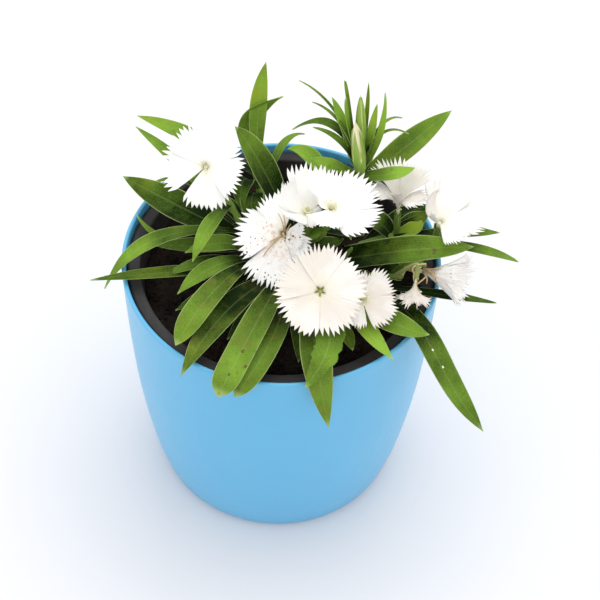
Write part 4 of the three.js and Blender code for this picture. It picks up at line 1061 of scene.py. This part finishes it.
def petal_finish(settings):
    """Petal: white with fine rays and a blush, which on the front bloom is partly painted shade, a cream heart with
    green arms, stains and specks.
    """
    material, nodes = begin("Fringed petal", settings.white, 0.6)
    marks, uv, split = nodes.growth()
    where, tint, wear = nodes.where(), marks[0], marks[2]
    rays = nodes.use(vein_group(), UV=uv, Lines=26.0, Sharpness=2.0)
    off = nodes.calc("ABSOLUTE", nodes.scaled(split[1], 2.0, -1.0))
    streak = nodes.between(rays["Streak"], 0.38, 0.68)
    blush = nodes.scaled(nodes.between(nodes.noise(where, 60.0, 2.0), 0.4, 0.65), 0.5, 0.5)
    patches = nodes.between(nodes.noise(where, 130.0), 0.35, 0.62)
    stain = nodes.between(nodes.noise(where, 700.0, 6.0), 0.46, 0.64)
    specks = nodes.use(speck_group(), Vector=where, Scale=620.0, Amount=1.6)["Mask"]

    def inside(low, high):
        """1 nearer the bloom's middle than low, 0 past high, as shares of the petal's length."""
        return nodes.rest(nodes.between(split[0], low, high))

    base = nodes.layered(
        settings.white,
        # The blush and streaks grow with the tint, which on bloom_front is raised partly as painted shade.
        ((0.77, 0.72, 0.655), blush, nodes.scaled(tint, 1.8, 0.1)),
        ((0.8, 0.73, 0.66), streak, nodes.scaled(tint, 0.6, 0.12)),
        ((0.6, 0.52, 0.42), rays["Line"], 0.16),
        ((0.84, 0.8, 0.46), nodes.times(inside(0.1, 0.5), streak), 0.7),
        ((0.8, 0.78, 0.4), inside(0.03, 0.11), 0.8),
        ((0.13, 0.17, 0.01), nodes.times(nodes.between(off, 0.35, 0.75), inside(0.07, 0.15)), marks[1]),
        (settings.faded, nodes.between(nodes.scaled(tint, 1.7, -0.95), 0.0, 1.0), patches),
        ((0.72, 0.47, 0.34), nodes.times(stain, wear), inside(0.2, 0.75)),
        (settings.dry, specks, wear))
    return dress(material, nodes, base, nodes.scaled(rays["Line"], 0.5, rays["Streak"]), 0.00018, {
        "Roughness": 0.6, "Subsurface Weight": 0.1, "Subsurface Scale": 0.001,
        "Subsurface Radius": (1.0, 0.85, 0.7), "Sheen Weight": 0.2})


def bud_finish(settings):
    """Furled petals: green at the foot, cream above, with darker folds."""
    material, nodes = begin("Furled bud", settings.bud, 0.55)
    marks, uv, split = nodes.growth()
    folds = nodes.use(vein_group(), UV=uv, Lines=5.0, Sharpness=4.0)["Line"]
    base = nodes.layered(
        nodes.mixed(nodes.between(split[0], 0.1, 0.7), (0.5, 0.55, 0.16), settings.bud),
        ((0.6, 0.36, 0.2), folds, 0.35),
        ((0.4, 0.55, 0.07), marks[0], 1.0))
    return dress(material, nodes, base, folds, 0.0002, {"Roughness": 0.55})


# ---------------------------------------------------------------- stage

# Metres and radians: the floor's side, the lamp's side, place and turns, and the camera's sensor in millimetres.
FLOOR_SIZE, LAMP_SIZE, LAMP_PLACE, LAMP_TURN, LAMP_TILT = 8.0, 0.9, (0.15, 0.4, 1.3), 0.11, -0.3
SENSOR = 36


def stand(name, data, at=(0, 0, 0), *turns):
    """Puts a floor, lamp or camera in the scene, turned about its axes in order and moved to its place."""
    made = bpy.data.objects.new(name, data)
    matrix = Matrix.Translation(at)
    for axis, angle in turns:
        matrix = matrix @ Matrix.Rotation(angle, 4, axis)
    made.matrix_world = matrix
    bpy.context.scene.collection.objects.link(made)
    return made


# ---------------------------------------------------------------- operators


class DIANTHUS_OT_cachepot(bpy.types.Operator):
    """Turn the sky-blue cachepot"""
    bl_idname = "dianthus.cachepot"
    bl_label = "Cachepot"

    def execute(self, context):
        pot = context.scene.dianthus_pot
        piece("sky_blue_cachepot", [skin(turned(pot_profile(pot), POT_SIDES))], [glaze_finish(pot)],
              "cachepot")
        return {"FINISHED"}


class DIANTHUS_OT_nursery_pot(bpy.types.Operator):
    """Turn the charcoal nursery pot that stands in the cachepot"""
    bl_idname = "dianthus.nursery_pot"
    bl_label = "Nursery pot"

    def execute(self, context):
        pot = context.scene.dianthus_pot
        piece("charcoal_nursery_pot", [skin(turned(nursery_profile(pot), NURSERY_SIDES))], [plastic_finish(pot)],
              "nursery_pot")
        return {"FINISHED"}


class DIANTHUS_OT_soil(bpy.types.Operator):
    """Heap the soil and strew crumbs over it"""
    bl_idname = "dianthus.soil"
    bl_label = "Soil"

    def execute(self, context):
        pot = context.scene.dianthus_pot
        piece("crumbly_soil", soil_parts(pot), [soil_finish(pot)], "soil")
        return {"FINISHED"}


class DIANTHUS_OT_leafy_stems(bpy.types.Operator):
    """Grow the leafy stems with their leaves, flower stalks and calyxes"""
    bl_idname = "dianthus.leafy_stems"
    bl_label = "Leafy stems"

    def execute(self, context):
        plant = context.scene.dianthus_plant
        scab = simple_finish("Leaf scab", (0.09, 0.06, 0.02), (0.25, 0.2, 0.08), 0.8, 900.0)
        hole = simple_finish("Leaf pinhole", (0.85, 0.87, 0.8), (0.6, 0.65, 0.4), 0.8, 900.0)
        finishes = [leaf_finish(plant), stem_finish(plant), scab, hole]
        for name in STEMS:
            piece(name.replace("leafy_stem", "spray"), leafy_stem(name, plant), finishes, name)
        return {"FINISHED"}


class DIANTHUS_OT_blooms(bpy.types.Operator):
    """Open the fringed blooms"""
    bl_idname = "dianthus.blooms"
    bl_label = "Blooms"

    def execute(self, context):
        plant = context.scene.dianthus_plant
        finishes = [
            petal_finish(plant),
            simple_finish("Throat", plant.throat, (0.16, 0.2, 0.03), 0.7),
            simple_finish("Style and stamen", (0.82, 0.8, 0.55), (0.6, 0.58, 0.28), 0.6),
            simple_finish("Dried thread", (0.62, 0.47, 0.28), (0.36, 0.22, 0.1), 0.8),
            simple_finish("Wilted heart", (0.14, 0.08, 0.03), (0.4, 0.27, 0.14), 0.8),
        ]
        for name, row in BLOOMS.items():
            piece(name.replace("bloom", "fringed_bloom"), corolla(name, plant), finishes, name)
        return {"FINISHED"}


class DIANTHUS_OT_buds(bpy.types.Operator):
    """Furl the petals of the two buds"""
    bl_idname = "dianthus.buds"
    bl_label = "Buds"

    def execute(self, context):
        material = bud_finish(context.scene.dianthus_plant)
        for name, row in BUDS.items():
            piece(name.replace("bud_petals", "furled_bud"), bud_petals(row), [material], name)
        return {"FINISHED"}


class DIANTHUS_OT_stage(bpy.types.Operator):
    """Set the plain pale floor, the soft light and the camera"""
    bl_idname = "dianthus.stage"
    bl_label = "Stage"

    def execute(self, context):
        scene, stage = context.scene, context.scene.dianthus_stage
        half = FLOOR_SIZE / 2
        mesh = bpy.data.meshes.new("pale_floor")
        mesh.from_pydata([(-half, -half, 0), (half, -half, 0), (half, half, 0), (-half, half, 0)], [], [(0, 1, 2, 3)])
        mesh.materials.append(simple_finish("Pale floor", stage.floor, stage.floor, 0.7, 3.0))
        stand("pale_floor", mesh)
        scene.world = bpy.data.worlds.new("Even sky")
        scene.world.use_nodes = True
        sky = scene.world.node_tree.nodes["Background"].inputs
        sky["Color"].default_value = (1, 1, 1, 1)
        sky["Strength"].default_value = stage.sky
        scene.view_settings.view_transform = "Standard"
        lamp = bpy.data.lights.new("Softbox", "AREA")
        lamp.energy, lamp.size = stage.lamp, LAMP_SIZE
        stand("Softbox", lamp, LAMP_PLACE, ("Y", LAMP_TURN), ("X", LAMP_TILT))
        camera = bpy.data.cameras.new("View")
        camera.lens, camera.sensor_width = stage.lens, SENSOR
        scene.camera = stand("View", camera, stage.place, ("X", stage.tilt), ("Z", stage.roll))
        return {"FINISHED"}


class DIANTHUS_PT_panel(bpy.types.Panel):
    bl_label = "Potted dianthus"
    bl_idname = "DIANTHUS_PT_panel"
    bl_space_type = "VIEW_3D"
    bl_region_type = "UI"
    bl_category = "Dianthus"

    def draw(self, context):
        for settings in (context.scene.dianthus_pot, context.scene.dianthus_plant, context.scene.dianthus_stage):
            box = self.layout.box()
            for key in settings.bl_rna.properties.keys()[2:]:
                box.prop(settings, key)
        for operator in OPERATORS:
            self.layout.operator(operator.bl_idname)


OPERATORS = (DIANTHUS_OT_cachepot, DIANTHUS_OT_nursery_pot, DIANTHUS_OT_soil, DIANTHUS_OT_leafy_stems,
             DIANTHUS_OT_blooms, DIANTHUS_OT_buds, DIANTHUS_OT_stage)
CLASSES = (PotSettings, PlantSettings, StageSettings, *OPERATORS, DIANTHUS_PT_panel)


def register():
    for kind in CLASSES:
        bpy.utils.register_class(kind)
    bpy.types.Scene.dianthus_pot = PointerProperty(type=PotSettings)
    bpy.types.Scene.dianthus_plant = PointerProperty(type=PlantSettings)
    bpy.types.Scene.dianthus_stage = PointerProperty(type=StageSettings)


def unregister():
    del bpy.types.Scene.dianthus_stage
    del bpy.types.Scene.dianthus_plant
    del bpy.types.Scene.dianthus_pot
    for kind in reversed(CLASSES):
        bpy.utils.unregister_class(kind)


def main():
    register()
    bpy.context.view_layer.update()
    for operator in OPERATORS:
        getattr(bpy.ops.dianthus, operator.bl_idname.split(".")[1])()


if __name__ == "__main__":
    main()
